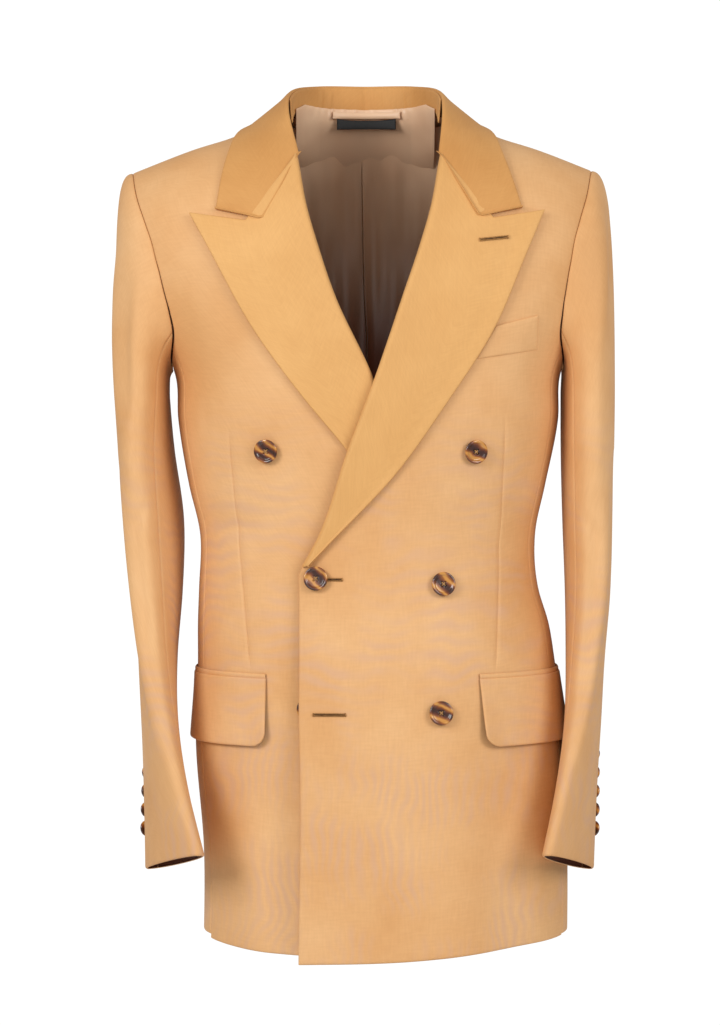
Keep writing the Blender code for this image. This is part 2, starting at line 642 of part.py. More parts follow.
def collar_stand(finish):
    """The band inside the collar, from the neck seam up to its fold."""
    shares = np.linspace(-STAND_END, STAND_END, 17)
    rows = []
    for share in shares:
        sign = 1 if share >= 0 else -1
        fold = collar_curve(abs(share), "fold", COLLAR_TIP_LEFT, GORGE_LEFT, sign)
        hub = np.array([0.0, fold[1] * 0.35 - 0.005, fold[2]])
        inward = hub - fold
        inward[2] = 0
        inward /= np.linalg.norm(inward)
        top = fold + inward * 0.0026
        top[2] -= 0.0010
        low = top + inward * 0.0005
        low[2] = NECK_Z * min(1, abs(top[0]) / NECK_X) + 0.0012 - 0.30 * max(0, abs(share) - 0.5) ** 1.5
        rows.append([np.stack([low, (low + top) / 2, top]), inward])
    outer = np.array([row[0] for row in rows])
    inward = np.array([row[1] for row in rows])[:, None, :]
    slab("collar_stand", outer, outer + inward * CLOTH, finish)


def lapel(name, over, gorge, notch, edge, roll, finish):
    """A lapel, lying on its front, with its peak and its long outer edge."""
    rows = 18
    tip = edge[0]
    top = bent(gorge, notch, tip, 5, 4)
    inner = resample([gorge] + [spot for spot in roll if spot.z < gorge.z - 0.01], rows)
    outer = resample(edge, rows)
    bottom = np.linspace(inner[-1], outer[-1], len(top))
    grid = patch(top, bottom, inner, outer, rows)
    x, z = grid[..., 0], grid[..., 1]
    low = on_front(x, z, over, LAY_GAP)
    high = on_front(x, z, over, LAY_GAP + CLOTH)
    return slab(name, high, low, finish)


# ---------------------------------------------------------------- pockets


def laid(surface, turns, heights, low, thick):
    """Two grids that lie on a surface: their outer side and their under side."""
    place = surface(turns, heights)
    normal = outward(surface, turns, heights)
    if normal[0, 0, 1] > 0:
        normal = -normal
    return place + normal * (low + thick), place + normal * low


def pocket(side, sign, surface, data, finish):
    """The jet and the flap of a side pocket."""
    share = np.array([0, 0.02, 0.045, 0.08, 0.2, 0.35, 0.5, 0.65, 0.8, 0.92, 0.955, 0.98, 1.0])
    turns = data.turn_in + (data.turn_out - data.turn_in) * share
    top = data.top_in + (data.top_out - data.top_in) * share
    from_end = np.minimum(share, 1 - share) * POCKET_LONG
    cut = FLAP_CORNER - np.sqrt(np.clip(FLAP_CORNER**2 - np.clip(FLAP_CORNER - from_end, 0, None)**2, 0, None))
    down = np.linspace(0, 1, 5)[:, None]
    grid = top[None, :] - down * (FLAP_DEEP - cut)[None, :]
    outer, inner = laid(surface, np.broadcast_to(turns, grid.shape), grid, LAY_GAP, CLOTH)
    slab(f"flap_{side}", outer, inner, finish)
    lift = np.array([0.0008, 0.0008 + JET_TALL])[:, None]
    grid = top[None, :] + lift
    outer, inner = laid(surface, np.broadcast_to(turns, grid.shape), grid, LAY_GAP, JET_CLOTH)
    slab(f"pocket_jet_{side}", outer, inner, finish)


def breast_welt(finish):
    """The welt of the breast pocket, from the edge of the lapel to its outer end."""
    share = np.linspace(0, 1, 6)[None, :]
    down = np.linspace(0, 1, 4)[:, None]
    high = np.array(WELT_TOP)
    low = np.array(WELT_LOW)
    top = high[0][:, None, None] + (high[1] - high[0])[:, None, None] * share
    bottom = low[0][:, None, None] + (low[1] - low[0])[:, None, None] * share
    x, z = top + (bottom - top) * down
    slab("breast_welt", on_front(x, z, True, LAY_GAP + WELT_CLOTH), on_front(x, z, True, LAY_GAP), finish)


# ---------------------------------------------------------------- buttons, loop and label


def turned_button(name, place, way, diameter, finish, sides):
    """A rimmed button on a short shank, standing along `way` from a place on the cloth."""
    r = diameter / 2
    profile = [(0.30, 0.00), (0.30, 0.10), (0.88, 0.14), (1.00, 0.24), (0.92, 0.38), (0.66, 0.30)]
    way = way / np.linalg.norm(way)
    first = np.cross(way, [0.0, 0.0, 1.0])
    first /= np.linalg.norm(first)
    second = np.cross(way, first)
    points = []
    for reach, high in profile:
        for i in range(sides):
            a = 2 * math.pi * i / sides
            points.append(place + way * (SEAM_GAP * 1.5 + high * r)
                          + (first * math.cos(a) + second * math.sin(a)) * reach * r)
    faces = []
    for ring in range(len(profile) - 1):
        for i in range(sides):
            j = (i + 1) % sides
            faces.append((ring * sides + i, ring * sides + j, (ring + 1) * sides + j, (ring + 1) * sides + i))
    last = (len(profile) - 1) * sides
    faces.append(tuple(reversed(range(sides))))
    faces.append(tuple(last + i for i in range(sides)))
    return add_mesh(name, points, faces, finish)


def front_buttons(over, under, finish):
    """The six buttons, each standing on the facet of the front that carries it."""
    for button in FRONT_BUTTONS:
        front = over if button.over else under
        place, way, _, _ = front.ray_cast((button.x, -1.0, button.z), (0.0, 1.0, 0.0))
        turned_button(button.name, np.array(place), np.array(way), BUTTON_D, finish, 16)


def cuff_buttons(side, surface, cloth, finish):
    """The row of small buttons behind a cuff, each standing on the facet that carries it."""
    arm = SLEEVE_LEFT[0].z - SLEEVE_LEFT[-1].z
    for i in range(CUFF_BUTTONS):
        up = CUFF_BUTTON_FIRST + CUFF_BUTTON_STEP * i
        length = np.array(2 - up / arm)
        angle = np.array(CUFF_BUTTON_ANGLE)
        place = surface(angle, length)
        way = outward(surface, angle, length, 0.5, 0.004)
        way = way if way[1] > 0 else -way
        place, way, _, _ = cloth.ray_cast(place + 0.02 * way, -way)
        turned_button(f"cuff_button_{side}_{i + 1}", np.array(place), np.array(way), CUFF_BUTTON_D, finish, 10)


def neck_strip(name, half_wide, top, bottom, wall, finish):
    """A flat strip that hangs inside the back neck edge, between two heights."""
    x = np.linspace(-half_wide, half_wide, 9)
    rise = rise_at(x, NECK_Z * np.abs(x) / NECK_X)
    y = point(180.0 - turn_at(x, rise), rise)[:, 1] - NECK_STRIP_GAP
    heights = np.array([bottom, (bottom + top) / 2, top])
    outer = np.stack(np.broadcast_arrays(x[None, :], y[None, :], heights[:, None]), -1)
    slab(name, outer, outer - np.array([0.0, wall, 0.0]), finish)


# ---------------------------------------------------------------- the jacket


def main():
    """Clear the scene and make every piece."""
    for old in list(bpy.data.objects):
        bpy.data.objects.remove(old, do_unlink=True)
    wool = material("wool_camel", (0.70, 0.38, 0.16), 0.8)
    wool_collar = material("wool_collar", (0.62, 0.31, 0.11), 0.8)
    satin = material("satin_lining", (0.52, 0.35, 0.22), 0.35)
    horn = material("horn_button", (0.12, 0.05, 0.02), 0.2)
    woven_label = material("label_black", (0.01, 0.01, 0.01), 0.6)

    over = front_panel("front_left", 1, front_over, over_edge_x, HEM_OVER, wool)
    under = front_panel("front_right", -1, point, under_edge_x, HEM_UNDER, wool)
    for side, sign in (("left", 1), ("right", -1)):
        side_panel(f"side_{side}", sign, wool)
        back_panel(f"back_{side}", sign, wool)
        back_panel(f"lining_back_{side}", sign, satin, LINING, CLOTH + LINING_GAP, 0.004)
        table = SLEEVE_LEFT if sign > 0 else SLEEVE_RIGHT
        surface = sleeve_surface(table, sign)
        top = sleeve_piece(f"sleeve_top_{side}", surface, SEAM_FRONT, SEAM_REAR, 13, wool)
        sleeve_piece(f"sleeve_under_{side}", surface, SEAM_REAR, SEAM_FRONT + 360.0, 7, wool)
        cuff_buttons(side, surface, facets(top), horn)
    pocket("left", 1, front_over, POCKET_LEFT, wool)
    pocket("right", -1, point, POCKET_RIGHT, wool)
    breast_welt(wool)
    lapel("lapel_left", True, GORGE_LEFT, NOTCH_LEFT, LAPEL_EDGE_LEFT, ROLL, wool)
    lapel("lapel_right", False, GORGE_RIGHT, NOTCH_RIGHT, LAPEL_EDGE_RIGHT, UNDER_ROLL, wool)
    collar_fall(wool_collar)
    collar_stand(wool_collar)
    front_buttons(over, under, horn)
    neck_strip("hanger_loop", 0.0310, 0.0035, -0.0030, 0.0012, satin)
    neck_strip("neck_label", 0.0270, -0.0034, -0.0130, 0.0010, woven_label)


main()
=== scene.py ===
"""Looks of a double breasted blazer, filled out with no wearer in it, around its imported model.

Metres, +Z up. The front faces -Y, the wearer's left is +X, and the origin is the middle of the back
neck seam. The cloth of the body is one surface, BodyForm.point(turn, rise): turn is the angle round
the body in degrees, 0 at the centre front and 180 at the centre back, and rise is the height up to
the chest line and then the way over the shoulder. Every piece of cloth is a fine grid on such a
surface, with a wall, rounded cut edges and edges rolled in a little where it is sewn.
"""
import logging
import math
from dataclasses import dataclass, field
from enum import Enum
from typing import Callable, Iterable, Sequence

import bpy
import numpy as np
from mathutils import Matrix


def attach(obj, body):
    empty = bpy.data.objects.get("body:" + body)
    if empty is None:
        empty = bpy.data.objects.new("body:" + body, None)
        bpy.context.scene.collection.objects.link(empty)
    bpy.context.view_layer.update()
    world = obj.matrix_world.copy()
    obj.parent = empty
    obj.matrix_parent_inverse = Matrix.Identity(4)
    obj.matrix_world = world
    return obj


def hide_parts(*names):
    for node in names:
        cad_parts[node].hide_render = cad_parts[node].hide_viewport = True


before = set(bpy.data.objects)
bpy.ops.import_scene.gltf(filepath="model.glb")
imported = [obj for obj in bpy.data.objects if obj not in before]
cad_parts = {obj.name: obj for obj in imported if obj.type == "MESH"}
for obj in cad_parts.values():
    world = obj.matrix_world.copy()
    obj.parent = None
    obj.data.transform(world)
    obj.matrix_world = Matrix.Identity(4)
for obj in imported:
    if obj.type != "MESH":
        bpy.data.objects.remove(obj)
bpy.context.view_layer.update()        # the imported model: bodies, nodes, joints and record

LOG = logging.getLogger("blazer")
FORWARD = np.array([0.0, -1.0, 0.0])    # the way that the fronts face
Grid = np.ndarray                 # numbers or points, as one array
Surface = Callable[[Grid, Grid], Grid]
Socket = bpy.types.NodeSocket


class Side(Enum):
    """The wearer's side, by the sign of its X."""

    LEFT = 1
    RIGHT = -1

    @property
    def word(self) -> str:
        """The side's name in the names of pieces."""
        return self.name.lower()


class Half(Enum):
    """Front or back half of the body, by the sign of its depth."""

    FRONT = 1
    BACK = -1


class Finish(Enum):
    """What a face is made of; the value is the record's material slot, where it has its own."""

    CLOTH = "wool_camel"
    # the suiting, darker as painted shade
    COLLAR = "wool_collar"
    SATIN = "satin_lining"
    # black tape, also used as painted shadow in the buttonhole slits
    LABEL = "label_black"
    HORN = "horn_button"
    THREAD = "thread"
    STITCH = "stitch"
    # the suiting, darker as painted shade
    LAPEL = "lapel"
    FLOOR = "floor"


# ---------------------------------------------------------------- curves and grids


def smooth(at: Grid, knots: Sequence[float], values: Sequence[float]) -> Grid:
    """Value at `at` on a smooth curve through the knots.

    Formula: a cubic between each two knots, whose slope at a knot is that of its two neighbours.

    Args:
        at: where to read the curve.
        knots: places of the known values, rising.
        values: the known values.

    Returns:
        The values, held at the ends.
    """
    knots = np.asarray(knots, float)
    values = np.asarray(values, float)
    slopes = np.gradient(values, knots)
    at = np.asarray(at, float)
    cell = np.clip(np.searchsorted(knots, at) - 1, 0, len(knots) - 2)
    width = knots[cell + 1] - knots[cell]
    t = (np.clip(at, knots[0], knots[-1]) - knots[cell]) / width
    return ((2 * t**3 - 3 * t**2 + 1) * values[cell] + (t**3 - 2 * t**2 + t) * width * slopes[cell]
            + (3 * t**2 - 2 * t**3) * values[cell + 1] + (t**3 - t**2) * width * slopes[cell + 1])


def ease(at: Grid, start: float, end: float) -> Grid:
    """0 at start and 1 at end, with a soft turn at both: 3t² − 2t³."""
    t = np.clip((np.asarray(at, float) - start) / (end - start), 0, 1)
    return t * t * (3 - 2 * t)


def column(rows: Iterable[object], name: str) -> Grid:
    """One named size of a list of rows, as an array."""
    return np.array([getattr(row, name) for row in rows])


def rows_of(kind: type, *rows: tuple) -> tuple:
    """Rows of a table, each made into one of a kind."""
    return tuple(kind(*row) for row in rows)


def spread(count: int, length: float, near: Sequence[float] = (0.0006, 0.0018)) -> Grid:
    """Shares 0 to 1, even but for extra ones close to both ends, where the edge turns.

    Args:
        count: how many even steps.
        length: real length that the shares run over.
        near: distances from the ends of the extra lines.

    Returns:
        Rising shares.
    """
    close = np.array(near) / length
    middle = np.linspace(0, 1, count + 1)
    middle = middle[(middle > close[-1] * 1.5) & (middle < 1 - close[-1] * 1.5)]
    return np.concatenate([[0], close, middle, 1 - close[::-1], [1]])


def run_lengths(grid: Grid, axis: int) -> Grid:
    """Length run along an axis of a grid of points, from its first line, at each point.

    Args:
        grid: grid of points.
        axis: 0 down the columns, 1 along the rows.

    Returns:
        The lengths, one for each point.
    """
    steps = np.linalg.norm(np.diff(grid, axis=axis), axis=-1)
    pad = [(0, 0), (0, 0)]
    pad[axis] = (1, 0)
    return np.pad(np.cumsum(steps, axis=axis), pad)


def normals_of(grid: Grid) -> Grid:
    """Unit normals of a grid: the cross product of its two directions."""
    normal = np.cross(np.gradient(grid, axis=1), np.gradient(grid, axis=0))
    return normal / np.maximum(np.linalg.norm(normal, axis=-1, keepdims=True), 1e-12)


def nearest(line: Sequence[tuple[float, float]], a: Grid, b: Grid) -> tuple[Grid, Grid]:
    """Distance of each place to a line in one plane, and the share of the line's length there.

    Formula: each place is dropped on every straight run of the line, and the closest drop is kept.

    Args:
        line: corners of the line.
        a: first coordinate of the places.
        b: second coordinate of the places.

    Returns:
        The distances and the shares.
    """
    spots = np.asarray(line, float)
    runs = np.diff(spots, axis=0)
    sizes = np.linalg.norm(runs, axis=1)
    starts = np.append(0, np.cumsum(sizes))
    best = np.full(np.shape(a), np.inf)
    share = np.zeros(np.shape(a))
    for spot, run, size, start in zip(spots, runs, sizes, starts):
        t = np.clip(((a - spot[0]) * run[0] + (b - spot[1]) * run[1]) / size**2, 0, 1)
        apart = np.hypot(a - spot[0] - t * run[0], b - spot[1] - t * run[1])
        share = np.where(apart < best, (start + t * size) / starts[-1], share)
        best = np.minimum(apart, best)
    return best, share


@dataclass(frozen=True)
class Crease:
    """A soft fold in the cloth along a line: a ridge, or a trough where depth is below zero."""

    line: tuple[tuple[float, float], ...]
    width: float
    depth: float

    def push(self, a: Grid, b: Grid) -> Grid:
        """How far the cloth is pushed out: depth × exp(−(distance ÷ width)²), faded at both ends."""
        apart, share = nearest(self.line, a, b)
        return self.depth * np.sin(math.pi * share) ** 0.7 * np.exp(-((apart / self.width) ** 2))


@dataclass(frozen=True)
class BodyCrease(Crease):
    """A fold on the body, by distance across and height, on one half of it."""

    half: Half = Half.FRONT


# ---------------------------------------------------------------- meshes


@dataclass
class MeshParts:
    """Points, faces, finishes and flat cloth coordinates that become one mesh."""

    points: list[Grid] = field(default_factory=list)
    flats: list[Grid] = field(default_factory=list)
    faces: list[Grid] = field(default_factory=list)
    finishes: list[Grid] = field(default_factory=list)
    used: list[Finish] = field(default_factory=list)
    count: int = 0

    def add(self, points: Grid, faces: Grid, finish: Finish, flat: Grid | None = None) -> None:
        """Adds points and the faces between them, all in one finish.

        Args:
            points: the points, as a list or a grid.
            faces: corners, counted from the first of these points.
            finish: what the faces are made of.
            flat: the points' places on the flat cloth.
        """
        points = np.asarray(points, float).reshape(-1, 3)
        self.flats.append(np.zeros((len(points), 2)) if flat is None else flat.reshape(-1, 2))
        self.points.append(points)
        self.add_faces(faces + self.count, finish)
        self.count += len(points)

    def add_faces(self, faces: Grid, finish: Finish) -> None:
        """Adds faces between points that are there already.

        Args:
            faces: corners, counted from the mesh's first point.
            finish: what they are made of.
        """
        if finish not in self.used:
            self.used.append(finish)
        self.faces.append(faces)
        self.finishes.append(np.full(len(faces), self.used.index(finish)))

    def build(self, name: str, finishes: dict[Finish, bpy.types.Material]) -> bpy.types.Object:
        """Makes the object, smooth, with its flat coordinates as its UV map.

        Args:
            name: the object's name.
            finishes: the material of each finish.

        Returns:
            The object.
        """
        faces = np.concatenate(self.faces)
        mesh = bpy.data.meshes.new(name)
        mesh.from_pydata(np.concatenate(self.points).tolist(), [], faces.tolist())
        for finish in self.used:
            mesh.materials.append(finishes[finish])
        mesh.polygons.foreach_set("material_index", np.concatenate(self.finishes).astype(np.int32))
        layer = mesh.uv_layers.new(name="cloth")
        layer.data.foreach_set("uv", np.concatenate(self.flats)[faces.ravel()].astype(np.float32).ravel())
        mesh.shade_smooth()
        mesh.update()
        made = bpy.data.objects.new(name, mesh)
        bpy.context.collection.objects.link(made)
        return made


def cells(rows: int, cols: int, closed: bool = False) -> Grid:
    """Corners of each cell of a grid of points; a closed grid joins its last column to its first.

    Args:
        rows: rows of points.
        cols: columns of points.
        closed: whether the last column joins the first.

    Returns:
        Four corners for each cell.
    """
    at = np.arange(rows * cols).reshape(rows, cols)
    if closed:
        at = np.concatenate([at, at[:, :1]], 1)
    return np.stack([at[:-1, :-1], at[:-1, 1:], at[1:, 1:], at[1:, :-1]], -1).reshape(-1, 4)


def border(rows: int, cols: int) -> Grid:
    """Points round the border of a grid, in order."""
    at = np.arange(rows * cols).reshape(rows, cols)
    return np.concatenate([at[0], at[1:, -1], at[-1, -2::-1], at[-2:0:-1, 0]])


@dataclass
class Cloth:
    """One cut piece of cloth: a grid of its outer side, with a wall behind it.

    Attributes:
        name: the piece's name.
        outer: grid of points of the outer side.
        facing: a way, or a grid of ways, that the outer side faces.
        finish: the outer side's finish.
        inside: the inner side's finish.
        thick: the wall.
        sewn: how far the edges are rolled in, where they are sewn or pressed.
        facing_cols: columns from the first whose inner side is cloth too, the facing of a front.
        roll_wide: how far in from an edge the roll starts.
        rim_bulge: bulge of the rim, as a share of the wall.
    """

    name: str
    outer: Grid
    facing: Grid
    finish: Finish = Finish.CLOTH
    inside: Finish = Finish.SATIN
    thick: float = 0.0017
    sewn: float = 0.0007
    facing_cols: int = 0
    roll_wide: float = 0.0016
    rim_bulge: float = 0.3

    def build(self, finishes: dict[Finish, bpy.types.Material]) -> bpy.types.Object:
        """Makes the piece.

        Formula: the inner side is the outer one moved along its normals by the wall, and the rim
        between them bulges out at its middle. Close to an edge the cloth rolls in by
        sewn × (1 − distance ÷ roll_wide)².

        Args:
            finishes: the material of each finish.

        Returns:
            The object.
        """
        grid = self.outer
        normal = normals_of(grid)
        flip = np.sum(normal * self.facing) < 0
        if flip:
            normal = -normal
        across, down = run_lengths(grid, 1), run_lengths(grid, 0)
        apart = np.minimum(np.minimum(across, across[:, -1:] - across), np.minimum(down, down[-1:] - down))
        roll = self.sewn * np.clip(1 - apart / self.roll_wide, 0, 1) ** 2
        grid = grid - normal * roll[..., None]
        inner = grid - normal * self.thick
        rows, cols = grid.shape[:2]
        flat = np.stack([across + self.outer[..., :1, 0], down], -1)
        ring = border(rows, cols)
        cut_out, cut_in = grid.reshape(-1, 3)[ring], inner.reshape(-1, 3)[ring]
        along = np.roll(cut_out, -1, 0) - np.roll(cut_out, 1, 0)
        away = np.cross(along, normal.reshape(-1, 3)[ring])
        away /= np.maximum(np.linalg.norm(away, axis=-1, keepdims=True), 1e-9)
        middle = (cut_out + cut_in) / 2
        centre = grid.reshape(-1, 3).mean(0)
        if np.sum(away * (cut_out - centre)) < 0:
            away = -away
        middle = middle + away * self.thick * self.rim_bulge
        parts = MeshParts()
        quads = cells(rows, cols)
        turned = quads[:, ::-1] if flip else quads
        parts.add(grid, turned, self.finish, flat)
        back = turned[:, ::-1].reshape(rows - 1, cols - 1, 4)
        count = rows * cols
        parts.add(inner, back[:, self.facing_cols:].reshape(-1, 4), self.inside, flat)
        if self.facing_cols:
            parts.add_faces(back[:, :self.facing_cols].reshape(-1, 4) + count, self.finish)
        size = len(ring)
        parts.add(middle, np.zeros((0, 4), int), self.finish, flat.reshape(-1, 2)[ring])
        rim = 2 * count + np.arange(size)
        following = np.roll(ring, -1)
        rim_next = np.roll(rim, -1)
        walls = np.concatenate([np.stack([following, ring, rim, rim_next], -1),
                                np.stack([rim_next, rim, ring + count, following + count], -1)])
        parts.add_faces(walls if not flip else walls[:, ::-1], self.finish)
        return parts.build(f"cloth_{self.name}", finishes)


@dataclass
class Workroom:
    """Makes the pieces, sets them on the frame and reports them."""

    finishes: dict[Finish, bpy.types.Material]
    narrowest: float = 0.01    # a strip narrower than this is an edging, not a sheet

    def place(self, piece: bpy.types.Object, finish: Finish, nodes: Sequence[str]) -> bpy.types.Object:
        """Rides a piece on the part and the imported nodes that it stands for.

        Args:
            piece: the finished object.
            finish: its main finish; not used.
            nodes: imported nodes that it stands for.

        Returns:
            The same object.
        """
        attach(piece, "root")
        if nodes:
            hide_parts(*nodes)
        LOG.info("%s: %d faces", piece.name, len(piece.data.polygons))
        return piece

    def cloth(self, cloth: Cloth, own_node: bool = True) -> bpy.types.Object:
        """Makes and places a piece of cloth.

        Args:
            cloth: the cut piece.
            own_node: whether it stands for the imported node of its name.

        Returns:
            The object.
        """
        piece = self.place(cloth.build(self.finishes), cloth.finish, [cloth.name] if own_node else [])
        return piece

    def solid(self, name: str, parts: MeshParts, finish: Finish,
              nodes: Sequence[str] = ()) -> bpy.types.Object:
        """Makes and places a piece that isn't a sheet of cloth."""
        return self.place(parts.build(f"made_{name}", self.finishes), finish, nodes)


# ---------------------------------------------------------------- form of the body


@dataclass(frozen=True)
class Section:
    """A section of the body: half width, middle, depth of the front half and of the back half."""

    rise: float
    half_width: float
    middle: float
    front: float
    back: float


@dataclass(frozen=True)
class Spot:
    """A place seen from the front: distance from the centre and height."""

    x: float
    z: float

    @property
    def pair(self) -> tuple[float, float]:
        """The place as two numbers."""
        return self.x, self.z


@dataclass(frozen=True)
class BodyForm:
    """The outer surface of the body and of the front that lies over the other."""

    chest_z: float = -0.15
    crest: float = 0.04
    neck_x: float = 0.072
    neck_z: float = -0.003
    slope: float = 0.396
    dip: float = 0.003
    dip_x: float = 0.118
    dip_wide: float = 0.028
    ridge_round: float = 0.02
    squareness: float = 0.035
    side_front: float = 70.0
    side_back: float = 112.0
    underarm_z: float = -0.24
    over_x: float = -0.0593
    under_x: float = 0.065
    break_z: float = -0.421
    hem_side: float = -0.752
    hem_back: float = -0.746
    overlap_fade: float = 0.08
    sections: tuple[Section, ...] = rows_of(
        Section,
        (-0.79, 0.167, 0.018, 0.112, 0.12), (-0.68, 0.167, 0.0185, 0.112, 0.12),
        (-0.575, 0.169, 0.013, 0.112, 0.118), (-0.506, 0.164, 0.01, 0.108, 0.108),
        (-0.47, 0.161, 0.007, 0.105, 0.101), (-0.44, 0.156, 0.003, 0.102, 0.096),
        (-0.389, 0.154, 0.002, 0.101, 0.093), (-0.345, 0.1635, 0.0015, 0.107, 0.098),
        (-0.285, 0.1745, 0.0025, 0.115, 0.108), (-0.24, 0.178, 0.002, 0.117, 0.113),
        (-0.22, 0.187, 0.0015, 0.117, 0.115), (-0.2, 0.2, 0.001, 0.116, 0.116),
        (-0.175, 0.214, -0.0005, 0.115, 0.117), (-0.15, 0.2225, -0.0015, 0.115, 0.118),
        (-0.11, 0.2265, -0.0027, 0.115, 0.118), (0.06, 0.2275, -0.003, 0.115, 0.118))
    armhole: tuple[Spot, ...] = rows_of(
        Spot,
        (0.2075, -0.0567), (0.201, -0.082), (0.1925, -0.11), (0.186, -0.137),
        (0.181, -0.165), (0.1775, -0.19), (0.1765, -0.212))
    roll: tuple[Spot, ...] = rows_of(
        Spot,
        (0.072, -0.003), (0.0688, -0.0145), (0.0648, -0.05), (0.0575, -0.096),
        (0.0477, -0.131), (0.033, -0.175), (0.0074, -0.251), (-0.0165, -0.315),
        (-0.0443, -0.395), (-0.057, -0.418))
    under_roll: tuple[Spot, ...] = rows_of(
        Spot,
        (-0.072, -0.003), (-0.0632, -0.0145), (-0.0592, -0.05), (-0.0519, -0.096),
        (-0.0421, -0.131), (-0.0274, -0.175), (0.0075, -0.251), (0.029, -0.315),
        (0.053, -0.395), (0.063, -0.418))
    overlap: tuple[Spot, ...] = rows_of(
        Spot,
        (0.0125, -0.79), (0.011, -0.65), (0.01, -0.545), (0.0066, -0.43),
        (0.007, -0.33), (0.0065, -0.2), (0.005, 0.05))
    creases: tuple[BodyCrease, ...] = rows_of(
        BodyCrease,
        (((-0.071, -0.56), (-0.073, -0.66), (-0.076, -0.79)), 0.011, -0.0035),
        (((-0.1, -0.59), (-0.097, -0.68), (-0.094, -0.8)), 0.018, 0.002),
        (((-0.13, -0.6), (-0.127, -0.7), (-0.123, -0.8)), 0.016, -0.0016),
        (((0.15, -0.6), (0.155, -0.69), (0.161, -0.8)), 0.017, 0.002),
        (((0.118, -0.585), (0.12, -0.68), (0.128, -0.79)), 0.02, -0.0016),
        (((-0.165, -0.18), (-0.158, -0.24), (-0.15, -0.3)), 0.012, -0.0022),
        (((0.166, -0.185), (0.16, -0.235), (0.156, -0.31)), 0.013, -0.002),
        (((-0.15, -0.372), (-0.12, -0.384), (-0.085, -0.38)), 0.01, -0.0013),
        (((0.152, -0.392), (0.12, -0.4), (0.08, -0.398)), 0.012, -0.0012),
        (((-0.12, -0.02), (-0.146, -0.052), (-0.165, -0.09)), 0.013, -0.0018),
        (((0.118, -0.018), (0.146, -0.05), (0.163, -0.088)), 0.013, -0.0016),
        (((-0.15, -0.15), (-0.146, -0.23), (-0.136, -0.32)), 0.014, -0.0035, Half.BACK),
        (((0.152, -0.14), (0.147, -0.22), (0.139, -0.33)), 0.015, -0.0032, Half.BACK),
        (((-0.118, -0.13), (-0.116, -0.21), (-0.11, -0.29)), 0.016, 0.0025, Half.BACK),
        (((0.12, -0.12), (0.117, -0.2), (0.112, -0.285)), 0.015, 0.0026, Half.BACK),
        (((-0.125, -0.372), (-0.06, -0.388), (-0.008, -0.383)), 0.012, -0.0028, Half.BACK),
        (((0.01, -0.378), (0.07, -0.386), (0.128, -0.37)), 0.011, -0.0026, Half.BACK),
        (((0.02, -0.402), (0.08, -0.412), (0.13, -0.404)), 0.01, 0.0018, Half.BACK),
        (((-0.085, -0.56), (-0.08, -0.66), (-0.074, -0.78)), 0.02, -0.003, Half.BACK),
        (((0.1, -0.55), (0.098, -0.65), (0.095, -0.78)), 0.022, -0.0028, Half.BACK))

    def size(self, rise: Grid, name: str) -> Grid:
        """A size of the body section at this rise."""
        return smooth(rise, column(self.sections, "rise"), column(self.sections, name))

    def shoulder_z(self, x: Grid) -> Grid:
        """Height of the shoulder's crest: a line that falls outwards, with a hollow beside the collar."""
        fall = self.slope * (np.hypot(x, self.ridge_round) - math.hypot(self.neck_x, self.ridge_round))
        return self.neck_z - fall - self.dip * np.exp(-((np.abs(x) - self.dip_x) / self.dip_wide) ** 2)

    def across(self, turn: Grid) -> Grid:
        """Share of the half width at a turn: (sin a + k sin 3a) ÷ (1 − k)."""
        a = np.radians(turn)
        return (np.sin(a) + self.squareness * np.sin(3 * a)) / (1 - self.squareness)

    def along(self, turn: Grid) -> Grid:
        """Share of the depth at a turn, above zero in front: (cos a − k cos 3a) ÷ (1 − k)."""
        a = np.radians(turn)
        return (np.cos(a) - self.squareness * np.cos(3 * a)) / (1 - self.squareness)

    def bare_point(self, turn: Grid, rise: Grid) -> Grid:
        """Point of the surface before its folds.

        Formula: across and depth shares of the section's sizes; past the chest line the depth
        shrinks as a cosine and the height nears the shoulder's crest as a sine.

        Args:
            turn: the turn in degrees.
            rise: the rise.

        Returns:
            The points.
        """
        turn, rise = np.broadcast_arrays(np.asarray(turn, float), np.asarray(rise, float))
        x = self.size(rise, "middle") + self.size(rise, "half_width") * self.across(turn)
        share = self.along(turn)
        depth = np.where(share > 0, self.size(rise, "front"), self.size(rise, "back"))
        roll = np.clip((rise - self.chest_z) / (self.crest - self.chest_z), 0, None) * math.pi / 2
        z = np.where(roll > 0, self.chest_z + (self.shoulder_z(x) - self.chest_z) * np.sin(roll), rise)
        return np.stack([x, -depth * share * np.cos(roll), z], -1)

    def point(self, turn: Grid, rise: Grid) -> Grid:
        """Point of the surface, folds pushed out from the body's own axis.

        Args:
            turn: the turn in degrees.
            rise: the rise.

        Returns:
            The points.
        """
        place = self.bare_point(turn, rise)
        share = self.along(np.broadcast_to(turn, place.shape[:2] if place.ndim > 2 else place.shape[:-1]))
        push = np.zeros(place.shape[:-1])
        for crease in self.creases:
            side = ease(share * crease.half.value, 0.0, 0.12)
            push += side * crease.push(place[..., 0], place[..., 2])
        way = place * np.array([1.0, 1.0, 0.0])
        way /= np.maximum(np.linalg.norm(way, axis=-1, keepdims=True), 1e-6)
        return place + way * push[..., None]

    def rise_at(self, x: Grid, z: Grid) -> Grid:
        """Rise of a place given by its distance across and its height.

        Args:
            x: distance across.
            z: height.

        Returns:
            The rise.
        """
        share = np.clip((z - self.chest_z) / (self.shoulder_z(x) - self.chest_z), 0, 1)
        over = self.chest_z + (self.crest - self.chest_z) * np.arcsin(share) * 2 / math.pi
        return np.where(z > self.chest_z, over, z)

